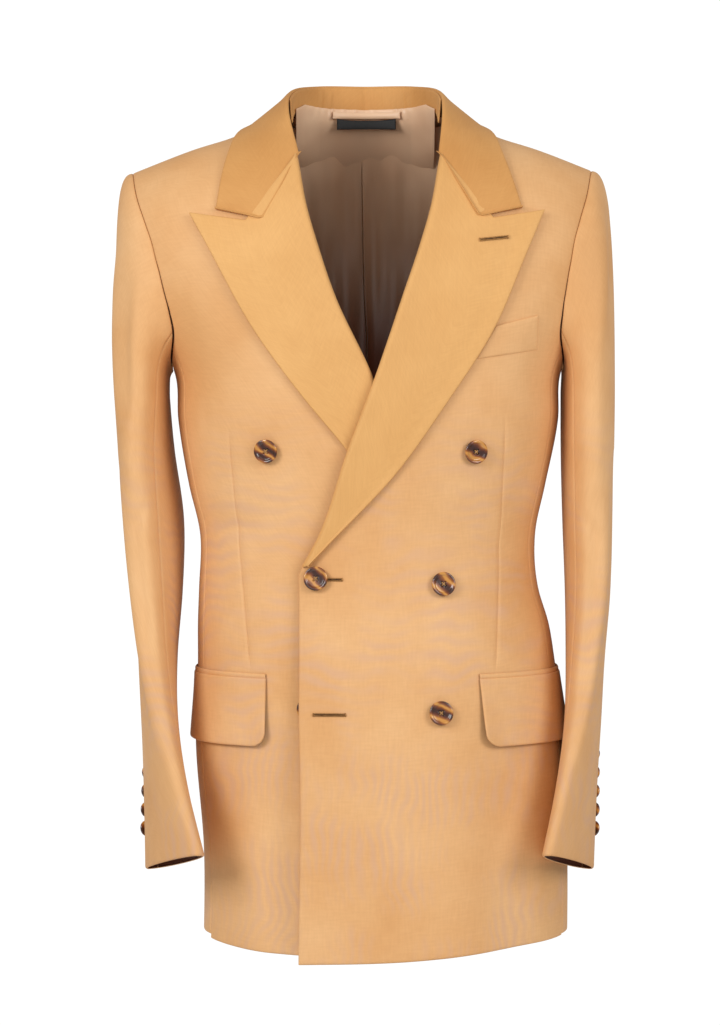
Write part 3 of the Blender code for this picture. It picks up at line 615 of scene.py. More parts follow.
    def turn_at(self, x: Grid, rise: Grid) -> Grid:
        """Turn in front of the body of a place across it.

        Args:
            x: distance across.
            rise: the rise.

        Returns:
            The turn, from -90 to 90 degrees.
        """
        turns = np.linspace(-90, 90, 721)
        share = (x - self.size(rise, "middle")) / self.size(rise, "half_width")
        return np.interp(share, self.across(turns), turns)

    def armhole_turn(self, rise: Grid) -> Grid:
        """Turn of the armhole in front of the body, mirrored for its back.

        Args:
            rise: the rise.

        Returns:
            The turn in degrees.
        """
        x, z = column(self.armhole, "x"), column(self.armhole, "z")
        rises = self.rise_at(x, z)
        turns = np.append(self.turn_at(x, rises), [76.0, 90.0])[::-1]
        return smooth(rise, np.append(rises, [-0.229, self.underarm_z])[::-1], turns)

    def edge_x(self, side: Side, z: Grid) -> Grid:
        """Inner edge of a front: the roll line, and the straight edge below the break.

        Args:
            side: the wearer's side.
            z: height.

        Returns:
            Distance across.
        """
        spots = sorted(self.roll if side is Side.LEFT else self.under_roll, key=lambda spot: spot.z)
        straight = self.over_x if side is Side.LEFT else self.under_x
        return np.where(z > self.break_z, smooth(z, column(spots, "z"), column(spots, "x")), straight)

    def lift(self, x: Grid, z: Grid) -> Grid:
        """How far the front on top stands forward, eased back to the body past the one below."""
        inside = ease((self.edge_x(Side.RIGHT, z) + 0.006 - x) / self.overlap_fade + 1, 0, 1)
        return inside * smooth(z, column(self.overlap, "z"), column(self.overlap, "x"))

    def front(self, side: Side) -> Surface:
        """Surface of one front: the left one is lifted over the other.

        Args:
            side: the wearer's side.

        Returns:
            A function of turn and rise.
        """
        def lifted(turn: Grid, rise: Grid) -> Grid:
            """The body's surface, moved forward by the lift."""
            place = self.point(turn, rise)
            forward = self.lift(place[..., 0], place[..., 2])
            return place - forward[..., None] * np.array([0.0, 1.0, 0.0])
        return lifted if side is Side.LEFT else self.point

    def on_front(self, x: Grid, z: Grid, side: Side, forward: Grid | float) -> Grid:
        """Points straight in front of a front, given by distance across and height.

        Args:
            x: distance across.
            z: height.
            side: the wearer's side.
            forward: how far in front of the cloth.

        Returns:
            The points.
        """
        rise = self.rise_at(x, z)
        place = self.front(side)(self.turn_at(x, rise), rise)
        place[..., 1] -= forward
        return place

    def edge_of(self, side: Side, rise: Grid, inset: float) -> Grid:
        """Distance across where the inner edge crosses lines of equal rise, by repeated trial.

        Args:
            side: the wearer's side.
            rise: the rise.
            inset: how far the cut edge is set in under the lapel.

        Returns:
            Distance across for each rise.
        """
        x = self.edge_x(side, np.minimum(rise, self.chest_z))
        for _ in range(30):
            height = self.bare_point(self.turn_at(x, rise), rise)[..., 2]
            x = self.edge_x(side, np.minimum(height, self.neck_z))
        hidden = inset * ease(rise, self.break_z - 0.002, self.break_z + 0.02)
        hidden = hidden + 0.006 * ease(self.bare_point(self.turn_at(x, rise), rise)[..., 2], -0.052, -0.04)
        return x + side.value * hidden

    def corner(self, turn: float) -> float:
        """Rise where the armhole meets the seam at this turn."""
        rises = np.linspace(self.chest_z, self.underarm_z, 200)
        return float(np.interp(min(turn, 180 - turn), self.armhole_turn(rises), rises))


# ---------------------------------------------------------------- body of the jacket


@dataclass
class Bodice:
    """Fronts, side panels, backs and their lining, all cut from the body's surface."""

    form: BodyForm
    step: float = 0.0042
    seam: float = 0.0004
    lapel_inset: float = 0.0026
    hem_over: tuple[Spot, ...] = rows_of(
        Spot,
        (-0.06, -0.771), (0.045, -0.767), (0.1, -0.762),
                                  (0.15, -0.756), (0.185, -0.7525))
    hem_under: tuple[Spot, ...] = rows_of(
        Spot,
        (-0.16, -0.752), (-0.135, -0.757), (-0.094, -0.762),
                                   (0.07, -0.7615))
    dart_left: tuple[Spot, Spot] = (Spot(0.125, -0.281), Spot(0.116, -0.508))
    dart_right: tuple[Spot, Spot] = (Spot(-0.123, -0.292), Spot(-0.103, -0.508))

    def seam_turn(self, rise: Grid) -> Grid:
        """Angle that half a seam gap takes up."""
        return np.degrees(self.seam / 2 / self.form.size(rise, "half_width")) * 1.3

    def rises(self, foot: float, corner: float, top: float) -> Grid:
        """Rises of the rows, even but for the cut edges, with one row at the corner of the armhole.

        Args:
            foot: rise of the hem.
            corner: rise of the corner of the armhole.
            top: rise of the shoulder seam.

        Returns:
            Rising rises.
        """
        low = spread(round((corner - foot) / self.step), corner - foot)[:-3] * (corner - foot) + foot
        high = spread(round((top - corner) / self.step), top - corner)[3:] * (top - corner) + corner
        return np.concatenate([low, [corner - 0.0012, corner, corner + 0.0012], high])

    def front(self, side: Side, room: Workroom) -> None:
        """A front with its dart.

        Formula: turns run from the inner edge to the dart line and from there to the side seam or the
        armhole; heights fall towards the hem's own curve below the waist. The dart is a groove.

        Args:
            side: the wearer's side.
            room: the workroom.
        """
        form = self.form
        sign = side.value
        hem = self.hem_over if side is Side.LEFT else self.hem_under
        dart = self.dart_left if side is Side.LEFT else self.dart_right
        corner = form.corner(form.side_front)
        rises = self.rises(form.hem_side, corner, form.crest - self.seam)
        outer = np.where(rises > corner, form.armhole_turn(rises), form.side_front) - self.seam_turn(rises)
        inner = form.turn_at(form.edge_of(side, rises, self.lapel_inset), rises)
        fall = (dart[1].x - dart[0].x) / (dart[1].z - dart[0].z)
        dart_x = dart[0].x + fall * (np.minimum(rises, -0.05) - dart[0].z)
        middle = form.turn_at(dart_x, rises)
        groove = np.array([-0.0016, -0.0008, 0.0, 0.0008, 0.0016]) / 0.0025
        tight = groove[None, :] * self.seam_turn(rises)[:, None] * 8
        near = [0.0006, 0.0018]
        first = spread(26 if side is Side.RIGHT else 44, 0.15, near)[:-3]
        last = spread(22, 0.1, near)[3:]
        left = inner[:, None] + (middle[:, None] + tight[:, :1] * sign - inner[:, None]) * first
        right = middle[:, None] + tight[:, -1:] * sign
        right = right + (sign * outer[:, None] - right) * last
        turns = np.concatenate([left, middle[:, None] + tight * sign, right], 1)
        grid = np.broadcast_to(rises[:, None], turns.shape).copy()
        hem_x = form.bare_point(turns[0], grid[0])[..., 0]
        cut = smooth(hem_x, column(hem, "x"), column(hem, "z"))
        fade = np.clip((form.break_z - rises) / (form.break_z - rises[0]), 0, 1)
        grid += fade[:, None] * (cut - rises[0])[None, :]
        place = form.front(side)(turns, grid)
        depth = np.zeros(turns.shape[1])
        depth[left.shape[1]:left.shape[1] + 5] = [0.1, 0.5, 1.0, 0.5, 0.1]
        share = (place[..., 2] - dart[1].z) / (dart[0].z - dart[1].z)
        sunk = 0.0011 * depth[None, :] * ease(share, -0.01, 0.04) * ease(share, 1.02, 0.85)
        place[..., 1] += sunk
        room.cloth(Cloth(f"front_{side.word}", place, FORWARD, facing_cols=first.size))

    def side(self, side: Side, room: Workroom) -> None:
        """A side panel: equal turns between its two seams, from the hem to the armhole's curve.

        Args:
            side: the wearer's side.
            room: the workroom.
        """
        form = self.form
        turns = form.side_front + (form.side_back - form.side_front) * spread(24, 0.12)
        turns[0] += self.seam_turn(form.hem_side)
        turns[-1] -= self.seam_turn(form.hem_side)
        tops = np.array([form.corner(turn) for turn in turns]) - self.seam
        share = spread(120, 0.5)[:, None]
        grid = form.hem_side + (tops[None, :] - form.hem_side) * share
        place = form.point(side.value * np.broadcast_to(turns, grid.shape), grid)
        room.cloth(Cloth(f"side_{side.word}", place, np.array([side.value, 0.0, 0.0])))

    def back_grid(self, side: Side, drop: float) -> tuple[Grid, Grid]:
        """Turns and rises of a back, from the side seam and the armhole to the centre back seam.

        Args:
            side: the wearer's side.
            drop: how far the neck edge and the hem of a lining fall short.

        Returns:
            The turns and the rises.
        """
        form = self.form
        corner = form.corner(form.side_back)
        rises = self.rises(form.hem_side, corner, form.crest)
        arm = 180.0 - form.armhole_turn(rises)
        outer = np.where(rises > corner, arm, form.side_back) + self.seam_turn(rises)
        neck = 180.0 - abs(float(form.turn_at(np.array(side.value * form.neck_x), np.array(form.crest))))
        first = outer[:, None] + (neck - outer)[:, None] * spread(22, 0.12)[None, :-3]
        second = neck + (180.0 - 0.1 - neck) * spread(16, 0.07)[None, 3:]
        turns = np.concatenate([first, np.broadcast_to(second, (len(rises), second.shape[1]))], 1)
        x = np.abs(form.bare_point(side.value * turns[-1], np.full(turns.shape[1], form.crest))[:, 0])
        neck_z = form.neck_z * (x / form.neck_x) - drop
        top = np.where(x < form.neck_x - 1e-4, form.rise_at(x, neck_z), form.crest) - self.seam
        grid = np.broadcast_to(rises[:, None], turns.shape).copy()
        fade = np.clip((rises - form.chest_z) / (form.crest - form.chest_z), 0, 1)[:, None]
        grid -= fade * (form.crest - top)[None, :]
        below = np.clip((form.break_z - rises) / (form.break_z - form.hem_side), 0, 1)[:, None]
        centre = np.clip((turns - form.side_back) / (180.0 - form.side_back), 0, 1)
        grid += below * (form.hem_back - form.hem_side) * centre
        grid += below * (0.015 if drop else 0.0) - fade * drop
        return side.value * turns, grid

    def back(self, side: Side, room: Workroom) -> None:
        """A back, and the lining that hangs inside it.

        Formula: the lining is the same grid set in by the wall and a gap, with soft upright folds:
        a sum of sines across it, more of them towards the neck, and a pleat beside the centre.

        Args:
            side: the wearer's side.
            room: the workroom.
        """
        form = self.form
        turns, rises = self.back_grid(side, 0.0)
        rearward = -FORWARD
        room.cloth(Cloth(f"back_{side.word}", form.point(turns, rises), rearward, sewn=0.0009))
        turns, rises = self.back_grid(side, 0.004)
        bare = form.bare_point(turns, rises)
        normal = normals_of(bare)
        normal *= np.sign(np.sum(normal * rearward))
        x, z = bare[..., 0], bare[..., 2]
        folds = (0.0016 * np.sin(x * 95 + 14 * z) + 0.0011 * np.sin(x * 210 - 22 * z + 1.3)
                 + 0.0008 * np.sin(x * 330 + 30 * z + 0.4) * ease(z, -0.3, -0.05))
        pleat = 0.0035 * (1 - ease(x, 0.001, 0.006)) * ease(z, -0.03, -0.06) if side is Side.LEFT else 0.0
        inward = 0.0047 + np.clip(folds + 0.0022, 0, None) * ease(z, -0.012, -0.06) + pleat
        inward = inward + 0.004 * ease(z, -0.1, -0.3)
        room.cloth(Cloth(f"lining_back_{side.word}", bare - normal * inward[..., None], rearward,
                         Finish.SATIN, Finish.SATIN, 0.0007, 0.0002))

    def build(self, room: Workroom) -> None:
        """Makes every piece of the body."""
        for side in Side:
            self.front(side, room)
            self.side(side, room)
            self.back(side, room)


# ---------------------------------------------------------------- sleeves


@dataclass(frozen=True)
class Ring:
    """A section of a sleeve: its front and rear folds, and the rounding between them."""

    z: float
    front_y: float
    rear_y: float
    front_x: float
    rear_x: float
    width: float


@dataclass
class Sleeve:
    """A two-piece tailored sleeve, roped at its head, with folds and a buttoned cuff."""

    form: BodyForm
    side: Side
    rings: tuple[Ring, ...]
    creases: tuple[Crease, ...]
    cap_rope: float = 0.014
    armhole_gap: float = 0.0001
    slant: float = 0.0125
    seam_front: float = -40.0
    seam_rear: float = 205.0
    half_gap: float = 0.35
    core: tuple[float, float] = (0.199, -0.02)

    def armhole(self, angles: Grid) -> Grid:
        """Points of the armhole seam: equal shares of its front and of its back run.

        Args:
            angles: angles round the sleeve.

        Returns:
            The points.
        """
        rises = np.linspace(self.form.crest, self.form.underarm_z, 240)
        turns = self.form.armhole_turn(rises)
        sign = self.side.value
        runs = [self.form.bare_point(sign * around, rises) for around in (turns, 180.0 - turns)]
        angles = np.mod(np.asarray(angles, float) + 90.0, 360.0) - 90.0
        shares = [np.clip((90.0 - angles) / 180.0, 0, 1), np.clip((angles - 90.0) / 180.0, 0, 1)]
        both = []
        for run, share in zip(runs, shares):
            length = np.append(0, np.cumsum(np.linalg.norm(np.diff(run, axis=0), axis=1)))
            both.append(np.stack([np.interp(share * length[-1], length, run[:, i]) for i in range(3)], -1))
        loop = np.where((angles <= 90.0)[..., None], both[0], both[1])
        loop[..., 0] += sign * self.armhole_gap
        return loop

    def ring(self, angles: Grid, z: Grid) -> Grid:
        """Points of a section: a flattened oval between the folds, slanted at the cuff.

        Args:
            angles: 0 at the front fold, 90 outside, 180 at the rear fold.
            z: height of the section.

        Returns:
            The points.
        """
        sized = {name: smooth(-z, -column(self.rings, "z"), column(self.rings, name))
                 for name in ("front_y", "rear_y", "front_x", "rear_x", "width")}
        a = np.radians(angles)
        reach = np.cos(a)
        front = np.stack([sized["front_x"], sized["front_y"]], -1)
        rear = np.stack([sized["rear_x"], sized["rear_y"]], -1)
        axis = rear - front
        out = np.stack([axis[..., 1], -axis[..., 0]], -1)
        out /= np.linalg.norm(out, axis=-1, keepdims=True)
        bulge = np.sign(np.sin(a)) * np.abs(np.sin(a)) ** 0.85 * sized["width"] / 2
        place = (front + rear) / 2 - axis / 2 * reach[..., None] + out * bulge[..., None]
        slant = self.slant * np.clip((-0.44 - z) / 0.24, 0, 1)
        return np.stack([self.side.value * place[..., 0], place[..., 1], z + slant * reach], -1)

    def surface(self, angles: Grid, length: Grid) -> Grid:
        """Point of the sleeve: length 0 to 1 down its head, 1 to 2 down to the cuff.

        Formula: the head is a cubic curve from the armhole, out over the rope and down into the
        first section; below it the sections are blended.

        Args:
            angles: angles round the sleeve.
            length: place down the sleeve.

        Returns:
            The points.
        """
        angles, length = np.broadcast_arrays(np.asarray(angles, float), np.asarray(length, float))
        top, foot = self.rings[0].z, self.rings[-1].z
        start = self.armhole(angles)
        end = self.ring(angles, np.full(angles.shape, top))
        stand = np.clip(np.sin(np.radians(angles)), 0, 1) ** 0.5
        drop = np.clip(start[..., 2] - end[..., 2], 0.004, None)
        first = start.copy()
        first[..., 0] += self.side.value * (self.cap_rope * stand + 0.003)
        first[..., 2] -= 0.15 * drop * (1 - stand)
        second = end.copy()
        second[..., 2] += 0.78 * drop
        t = np.clip(length, 0, 1)[..., None]
        head = ((1 - t) ** 3 * start + 3 * (1 - t) ** 2 * t * first + 3 * (1 - t) * t ** 2 * second
                + t ** 3 * end)
        arm = self.ring(angles, top + (foot - top) * np.clip(length - 1, 0, 1))
        return np.where((length <= 1)[..., None], head, arm)

    def piece(self, name: str, first: float, last: float, columns: int, room: Workroom) -> None:
        """One of the two cut pieces, between two seams, with its folds pushed along its normals.

        Args:
            name: the piece's name, without its side.
            first: angle of its first seam.
            last: angle of its last seam.
            columns: even columns between them.
            room: the workroom.
        """
        lengths = np.concatenate([spread(34, 0.2)[:-3], 1 + spread(104, 0.42)[2:]])
        angles = first + (last - first) * spread(columns, 0.16)
        angles = np.clip(angles, first + self.half_gap, last - self.half_gap)
        turns = np.broadcast_to(angles, (len(lengths), len(angles)))
        place = self.surface(turns, np.broadcast_to(lengths[:, None], turns.shape))
        normal = normals_of(place)
        core = np.array([self.core[0] * self.side.value, self.core[1], 0.0])
        normal *= np.sign(np.sum(normal * (place - core) * np.array([1, 1, 0])))
        push = np.zeros(turns.shape)
        for crease in self.creases:
            push += crease.push(np.where(turns > 250, turns - 360, turns) / 1000, place[..., 2])
        settle = ease(lengths, 0.0, 0.25)[:, None]
        place = place + normal * (push * settle)[..., None]
        room.cloth(Cloth(f"{name}_{self.side.word}", place, normal))

    def build(self, room: Workroom) -> None:
        """Makes the two pieces of the sleeve."""
        self.piece("sleeve_top", self.seam_front, self.seam_rear, 72, room)
        self.piece("sleeve_under", self.seam_rear, self.seam_front + 360.0, 30, room)


SLEEVE_LEFT = rows_of(
    Ring,
    (-0.262, -0.075, 0.08, 0.2045, 0.2045, 0.049), (-0.31, -0.076, 0.075, 0.2045, 0.2035, 0.048),
    (-0.375, -0.075, 0.065, 0.2045, 0.203, 0.045), (-0.44, -0.08, 0.055, 0.2035, 0.2035, 0.041),
    (-0.5, -0.089, 0.043, 0.197, 0.2045, 0.036), (-0.56, -0.103, 0.027, 0.1885, 0.2065, 0.032),
    (-0.62, -0.118, 0.01, 0.176, 0.206, 0.029), (-0.6845, -0.134, -0.006, 0.16, 0.205, 0.027))
SLEEVE_RIGHT = rows_of(
    Ring,
    (-0.262, -0.075, 0.08, 0.2055, 0.2045, 0.049), (-0.31, -0.076, 0.076, 0.208, 0.195, 0.047),
    (-0.375, -0.075, 0.066, 0.205, 0.1825, 0.045), (-0.44, -0.08, 0.055, 0.1985, 0.183, 0.041),
    (-0.5, -0.089, 0.043, 0.191, 0.189, 0.036), (-0.56, -0.103, 0.027, 0.18, 0.194, 0.033),
    (-0.62, -0.118, 0.01, 0.1655, 0.1965, 0.031), (-0.6845, -0.134, -0.006, 0.1465, 0.1975, 0.029))
# Folds of the sleeves, by angle round the sleeve, in thousands of degrees, and by height.
SLEEVE_FOLDS_RIGHT = rows_of(
    Crease,
    (((0.055, -0.13), (0.062, -0.165), (0.058, -0.215), (0.04, -0.3)), 0.016, 0.004),
    (((0.03, -0.15), (0.03, -0.22), (0.018, -0.29)), 0.016, -0.0038),
    (((0.044, -0.33), (0.034, -0.39), (0.03, -0.48), (0.028, -0.6)), 0.014, 0.0036),
    (((0.004, -0.34), (0.006, -0.43), (0.004, -0.54)), 0.015, -0.003),
    (((0.075, -0.39), (0.066, -0.47), (0.06, -0.57)), 0.018, -0.0026),
    (((0.11, -0.25), (0.12, -0.33), (0.1, -0.42)), 0.02, 0.003),
    (((0.15, -0.34), (0.14, -0.4), (0.16, -0.47)), 0.016, -0.0034),
    (((-0.02, -0.36), (0.0, -0.378), (0.03, -0.384)), 0.007, -0.002))
SLEEVE_FOLDS_LEFT = rows_of(
    Crease,
    (((0.03, -0.33), (0.026, -0.4), (0.024, -0.5), (0.022, -0.6)), 0.013, 0.0034),
    (((0.07, -0.31), (0.064, -0.38), (0.054, -0.45)), 0.014, -0.0032),
    (((0.052, -0.07), (0.044, -0.11), (0.03, -0.16), (0.012, -0.23)), 0.012, 0.0034),
    (((0.074, -0.09), (0.066, -0.13), (0.05, -0.18)), 0.011, -0.003),
    (((0.004, -0.35), (0.002, -0.44), (0.0, -0.54)), 0.014, -0.0026),
    (((0.105, -0.26), (0.118, -0.33), (0.104, -0.43)), 0.019, 0.003),
    (((0.15, -0.33), (0.138, -0.395), (0.156, -0.46)), 0.015, -0.0032),
    (((-0.022, -0.372), (0.002, -0.39), (0.028, -0.394)), 0.007, -0.0018))


# ---------------------------------------------------------------- collar and lapels


@dataclass(frozen=True)
class CollarSection:
    """Fold and fall edge of the collar at a share of the way from the centre back to its front end."""

    share: float
    fold: tuple[float, float, float]
    edge: tuple[float, float, float]


@dataclass
class Collar:
    """The fall, which folds over the back neck and the shoulders, and the stand inside it."""

    form: BodyForm
    sections: tuple[CollarSection, ...] = rows_of(
        CollarSection,
        (0.0, (0.0, 0.062, 0.03), (0.0, 0.086, -0.017)),
        (0.25, (0.043, 0.045, 0.0285), (0.064, 0.068, -0.019)),
        (0.5, (0.0655, -0.004, 0.0185), (0.109, -0.004, -0.018)),
        (0.75, (0.069, -0.048, -0.004), (0.1255, -0.064, -0.052)))
    gorges: tuple[Spot, Spot] = (Spot(0.065, -0.047), Spot(-0.0595, -0.047))
    notches: tuple[Spot, Spot] = (Spot(0.102, -0.106), Spot(-0.093, -0.108))
    tips: tuple[Spot, Spot] = (Spot(0.14, -0.0968), Spot(-0.134, -0.0985))
    stand_end: float = 0.62
    # Upright pulls in the stand: place across, width and height.
    stand_pulls: tuple[tuple[float, float, float], ...] = (
        (-0.0437, 0.0022, 1.0), (-0.0345, 0.0018, 0.8), (0.015, 0.0022, 0.8), (0.041, 0.0026, 1.0))
    roll: float = 0.005
    proud: float = 0.0043

    def corners(self, side: Side) -> tuple[Spot, Spot, Spot]:
        """Gorge, notch and tip of one side."""
        at = 0 if side is Side.LEFT else 1
        return self.gorges[at], self.notches[at], self.tips[at]

    def line(self, share: float, part: str, side: Side) -> Grid:
        """A point of the fold or of the fall edge, on a smooth curve through the sections.

        Args:
            share: share of the way to the front end.
            part: fold or edge.
            side: the wearer's side.

        Returns:
            The point.
        """
        gorge, _, tip = self.corners(side)
        end = gorge if part == "fold" else tip
        last = self.form.on_front(np.array(end.x), np.array(end.z), side, self.proud)
        last[0] = abs(last[0])
        shares = np.append(column(self.sections, "share"), 1.0)
        rows = np.vstack([column(self.sections, part), last])
        place = np.array([float(smooth(share, shares, rows[:, i])) for i in range(3)])
        return place * np.array([side.value, 1.0, 1.0])

    def push_out(self, place: Grid, clear: float) -> Grid:
        """Moves points away from the shoulder, along rays from the chest line, until they stand clear.

        Args:
            place: the points.
            clear: how far they have to stand off.

        Returns:
            The points, moved.
        """
        form = self.form
        x, y, z = place[..., 0], place[..., 1], place[..., 2]
        turn = form.turn_at(x, np.full(x.shape, form.chest_z + 0.03))
        half = np.where(y < 0, 0.1155, 0.1185) * form.along(turn)
        tall = form.shoulder_z(x) - form.chest_z
        up = np.clip(z - form.chest_z, 0, None)
        ring = np.hypot(y / half, up / tall)
        reach = np.hypot(y, up) / ring
        grow = np.maximum(1, (1 + clear / reach) / ring)
        return np.stack([x, y * grow, form.chest_z + up * grow], -1)

    def fall_row(self, share: float, widths: Grid) -> Grid:
        """One row of the fall, from the fold to its edge.

        Formula: a straight run from fold to edge, bent towards the gorge line near the front end,
        bulged as a parabola at the back, lifted off the shoulder, and dropped as a quarter circle
        over the first millimetres, where it turns down into the stand.

        Args:
            share: share of the way to the front end, below zero on the right.
            widths: shares of the way from the fold to the edge.

        Returns:
            The row of points.
        """
        side = Side.LEFT if share >= 0 else Side.RIGHT
        gorge, notch, tip = self.corners(side)
        s = abs(share)
        fold, edge = self.line(s, "fold", side), self.line(s, "edge", side)
        w = widths[:, None]
        row = fold + (edge - fold) * w
        front = float(np.clip((s - 0.5) / 0.5, 0, 1)) ** 2
        nick = np.interp(widths, [0, 0.55, 1], [gorge.x, notch.x, tip.x])
        nick_z = np.interp(widths, [0, 0.55, 1], [gorge.z, notch.z, tip.z]) + 0.0009
        flat = self.form.on_front(nick, nick_z, side, self.proud)
        row = row + front * (flat - (flat[0] + (flat[-1] - flat[0]) * w))
        row[:, 2] += 0.005 * max(0.0, 1 - 2 * s) * (4 * widths * (1 - widths))
        row = self.push_out(row, 0.0045 * (1 - front) + 0.003 * front) if s < 1 else flat
        size = float(np.linalg.norm(edge - fold))
        apart = np.clip(1 - widths * size / self.roll, 0, 1)
        sink = self.roll * 0.8 * (1 - np.sqrt(1 - apart**2))
        row[:, 2] -= sink * (1 - front)
        row[:, 1] += sink * front * 0.8
        row[:, 2] += 0.0016 * (1 - front) * np.exp(-(((widths * size - self.roll) / 0.006) ** 2))
        return row

    def build(self, room: Workroom) -> None:
        """Makes the fall and the stand, whose folds are a few sines that fade at its ends.

        Args:
            room: the workroom.
        """
        shares = np.concatenate([-spread(70, 0.22)[::-1], spread(70, 0.22)[1:]])
        shares[np.abs(shares) < 0.009] = 0.0
        shares = np.unique(shares)
        widths = np.unique(np.concatenate([[0.02, 0.045, 0.06], spread(26, 0.09)]))
        grid = np.array([self.fall_row(share, widths) for share in shares])
        facing = np.array([0.0, -0.1, 1.0])
        room.cloth(Cloth("collar_fall", grid, facing, Finish.COLLAR, Finish.COLLAR, 0.0018, 0.0005))
        rows = []
        for share in np.linspace(-self.stand_end, self.stand_end, 180):
            side = Side.LEFT if share >= 0 else Side.RIGHT
            fold = self.line(abs(share), "fold", side)
            inward = np.array([0.0, fold[1] * 0.35 - 0.005, fold[2]]) - fold
            inward[2] = 0
            inward /= np.linalg.norm(inward)
            top = fold + inward * 0.0004 - np.array([0, 0, 0.0026])
            low = fold + inward * 0.0031
            ends = 0.3 * max(0.0, abs(share) - 0.5) ** 1.5
            low[2] = self.form.neck_z * min(1.0, abs(top[0]) / self.form.neck_x) + 0.0012 - ends
            down = np.linspace(0, 1, 14)[:, None]
            x = fold[0] + 0.0015 * np.sin(down[:, 0] * 3 + share * 8)
            pull = sum(tall * np.exp(-(((x - at) / wide) ** 2)) for at, wide, tall in self.stand_pulls)
            v = down[:, 0] * math.pi
            wave = 0.0009 * pull * np.sin(v) - 0.001 * np.sin(v / 2) + 0.001
            rows.append(top + (low - top) * down + inward * wave[:, None])
        grid = np.array(rows)
        facing = FORWARD * np.ones_like(grid)
        facing[..., 0] = -grid[..., 0] * 12
        room.cloth(Cloth("collar_stand", grid, facing, Finish.COLLAR, Finish.COLLAR, 0.0014, 0.0003))


@dataclass
class Lapel:
    """A peak lapel, rolled out of its front and lying on it."""

    form: BodyForm
    side: Side
    corners: tuple[Spot, Spot, Spot]
    outer: tuple[Spot, ...]
    rows: int = 120
    base: float = 0.0034
    crown: float = 0.0068
    roll: float = 0.0042
    sunk: float = -0.0016
    knee: float = 0.56

    def along_line(self, spots: Sequence[Spot], shares: Grid) -> Grid:
        """Places at shares of the length of a smooth line through the spots.

        Args:
            spots: places on the line.
            shares: shares of its length.

        Returns:
            The places.
        """
        pairs = np.array([spot.pair for spot in spots])
        knots = np.append(0, np.cumsum(np.linalg.norm(np.diff(pairs, axis=0), axis=1)))
        return np.stack([smooth(shares * knots[-1], knots, pairs[:, i]) for i in range(2)], -1)

    def forward(self, roll_line: Sequence[tuple[float, float]], x: Grid, z: Grid,
                out: Grid) -> Grid:
        """How far the lapel stands off its front.

        Formula: a quarter circle at the roll line, a crown that settles as an exponential, and an
        outer edge that lifts a little, most at the peak.

        Args:
            roll_line: corners of the roll line.
            x: distance across of the grid.
            z: height of the grid.
            out: share of the way from the roll line to the outer edge.

        Returns:
            The distance for each point of the grid.
        """
        apart, _ = nearest(roll_line, x, z)
        crown = self.base + (self.crown - self.base) * (0.55 + 0.45 * ease(z, -0.34, -0.12))
        if self.side is Side.RIGHT:
            crown = self.base + (crown - self.base) * ease(z, -0.262, -0.225)
        turn = np.sqrt(np.clip(1 - (1 - np.clip(apart / self.roll, 0, 1)) ** 2, 0, 1))
        settled = self.base + (crown - self.base) * np.exp(-np.clip(apart - self.roll, 0, None) / 0.016)
        edge = ease(out, 0.8, 1.0) * (0.001 + 0.0016 * ease(z, -0.3, -0.12))
        if self.side is Side.RIGHT:
            edge = edge * ease(z, -0.36, -0.3)
        return self.sunk + (settled - self.sunk) * turn + edge

    def build(self, room: Workroom) -> None:
        """Makes the lapel: a grid blended between its four edges, then stood off the front.

        Args:
            room: the workroom.
        """
        gorge, notch, tip = self.corners
        across = spread(52, 0.1, (0.0006, 0.0016, 0.0028))
        down = spread(self.rows, 0.42)
        first, middle, last = (np.array(spot.pair) for spot in (gorge, notch, tip))
        u = across[:, None]
        top = np.where(u < self.knee, first + (middle - first) * u / self.knee,
                       middle + (last - middle) * (u - self.knee) / (1 - self.knee))
        spots = self.form.roll if self.side is Side.LEFT else self.form.under_roll
        inner = self.along_line([gorge] + [spot for spot in spots if spot.z < gorge.z - 0.01], down)
        inner[:, 0] += self.side.value * 0.0016 * np.exp(-down / 0.05)
        outer = self.along_line(self.outer, down)
        bottom = inner[-1] + (outer[-1] - inner[-1]) * u
        u, v = across[None, :, None], down[:, None, None]
        grid = (1 - v) * top[None] + v * bottom[None] + (1 - u) * inner[:, None] + u * outer[:, None]
        grid -= ((1 - u) * (1 - v) * top[0] + u * (1 - v) * top[-1] + (1 - u) * v * bottom[0]
                 + u * v * bottom[-1])
        x, z = grid[..., 0], grid[..., 1]
        forward = self.forward(inner.tolist(), x, z, across[None, :] * np.ones_like(x))
        place = self.form.on_front(x, z, self.side, forward)
        room.cloth(Cloth(f"lapel_{self.side.word}", place, FORWARD, Finish.LAPEL, Finish.LAPEL, 0.0017, 0.0005))


# ---------------------------------------------------------------- pockets


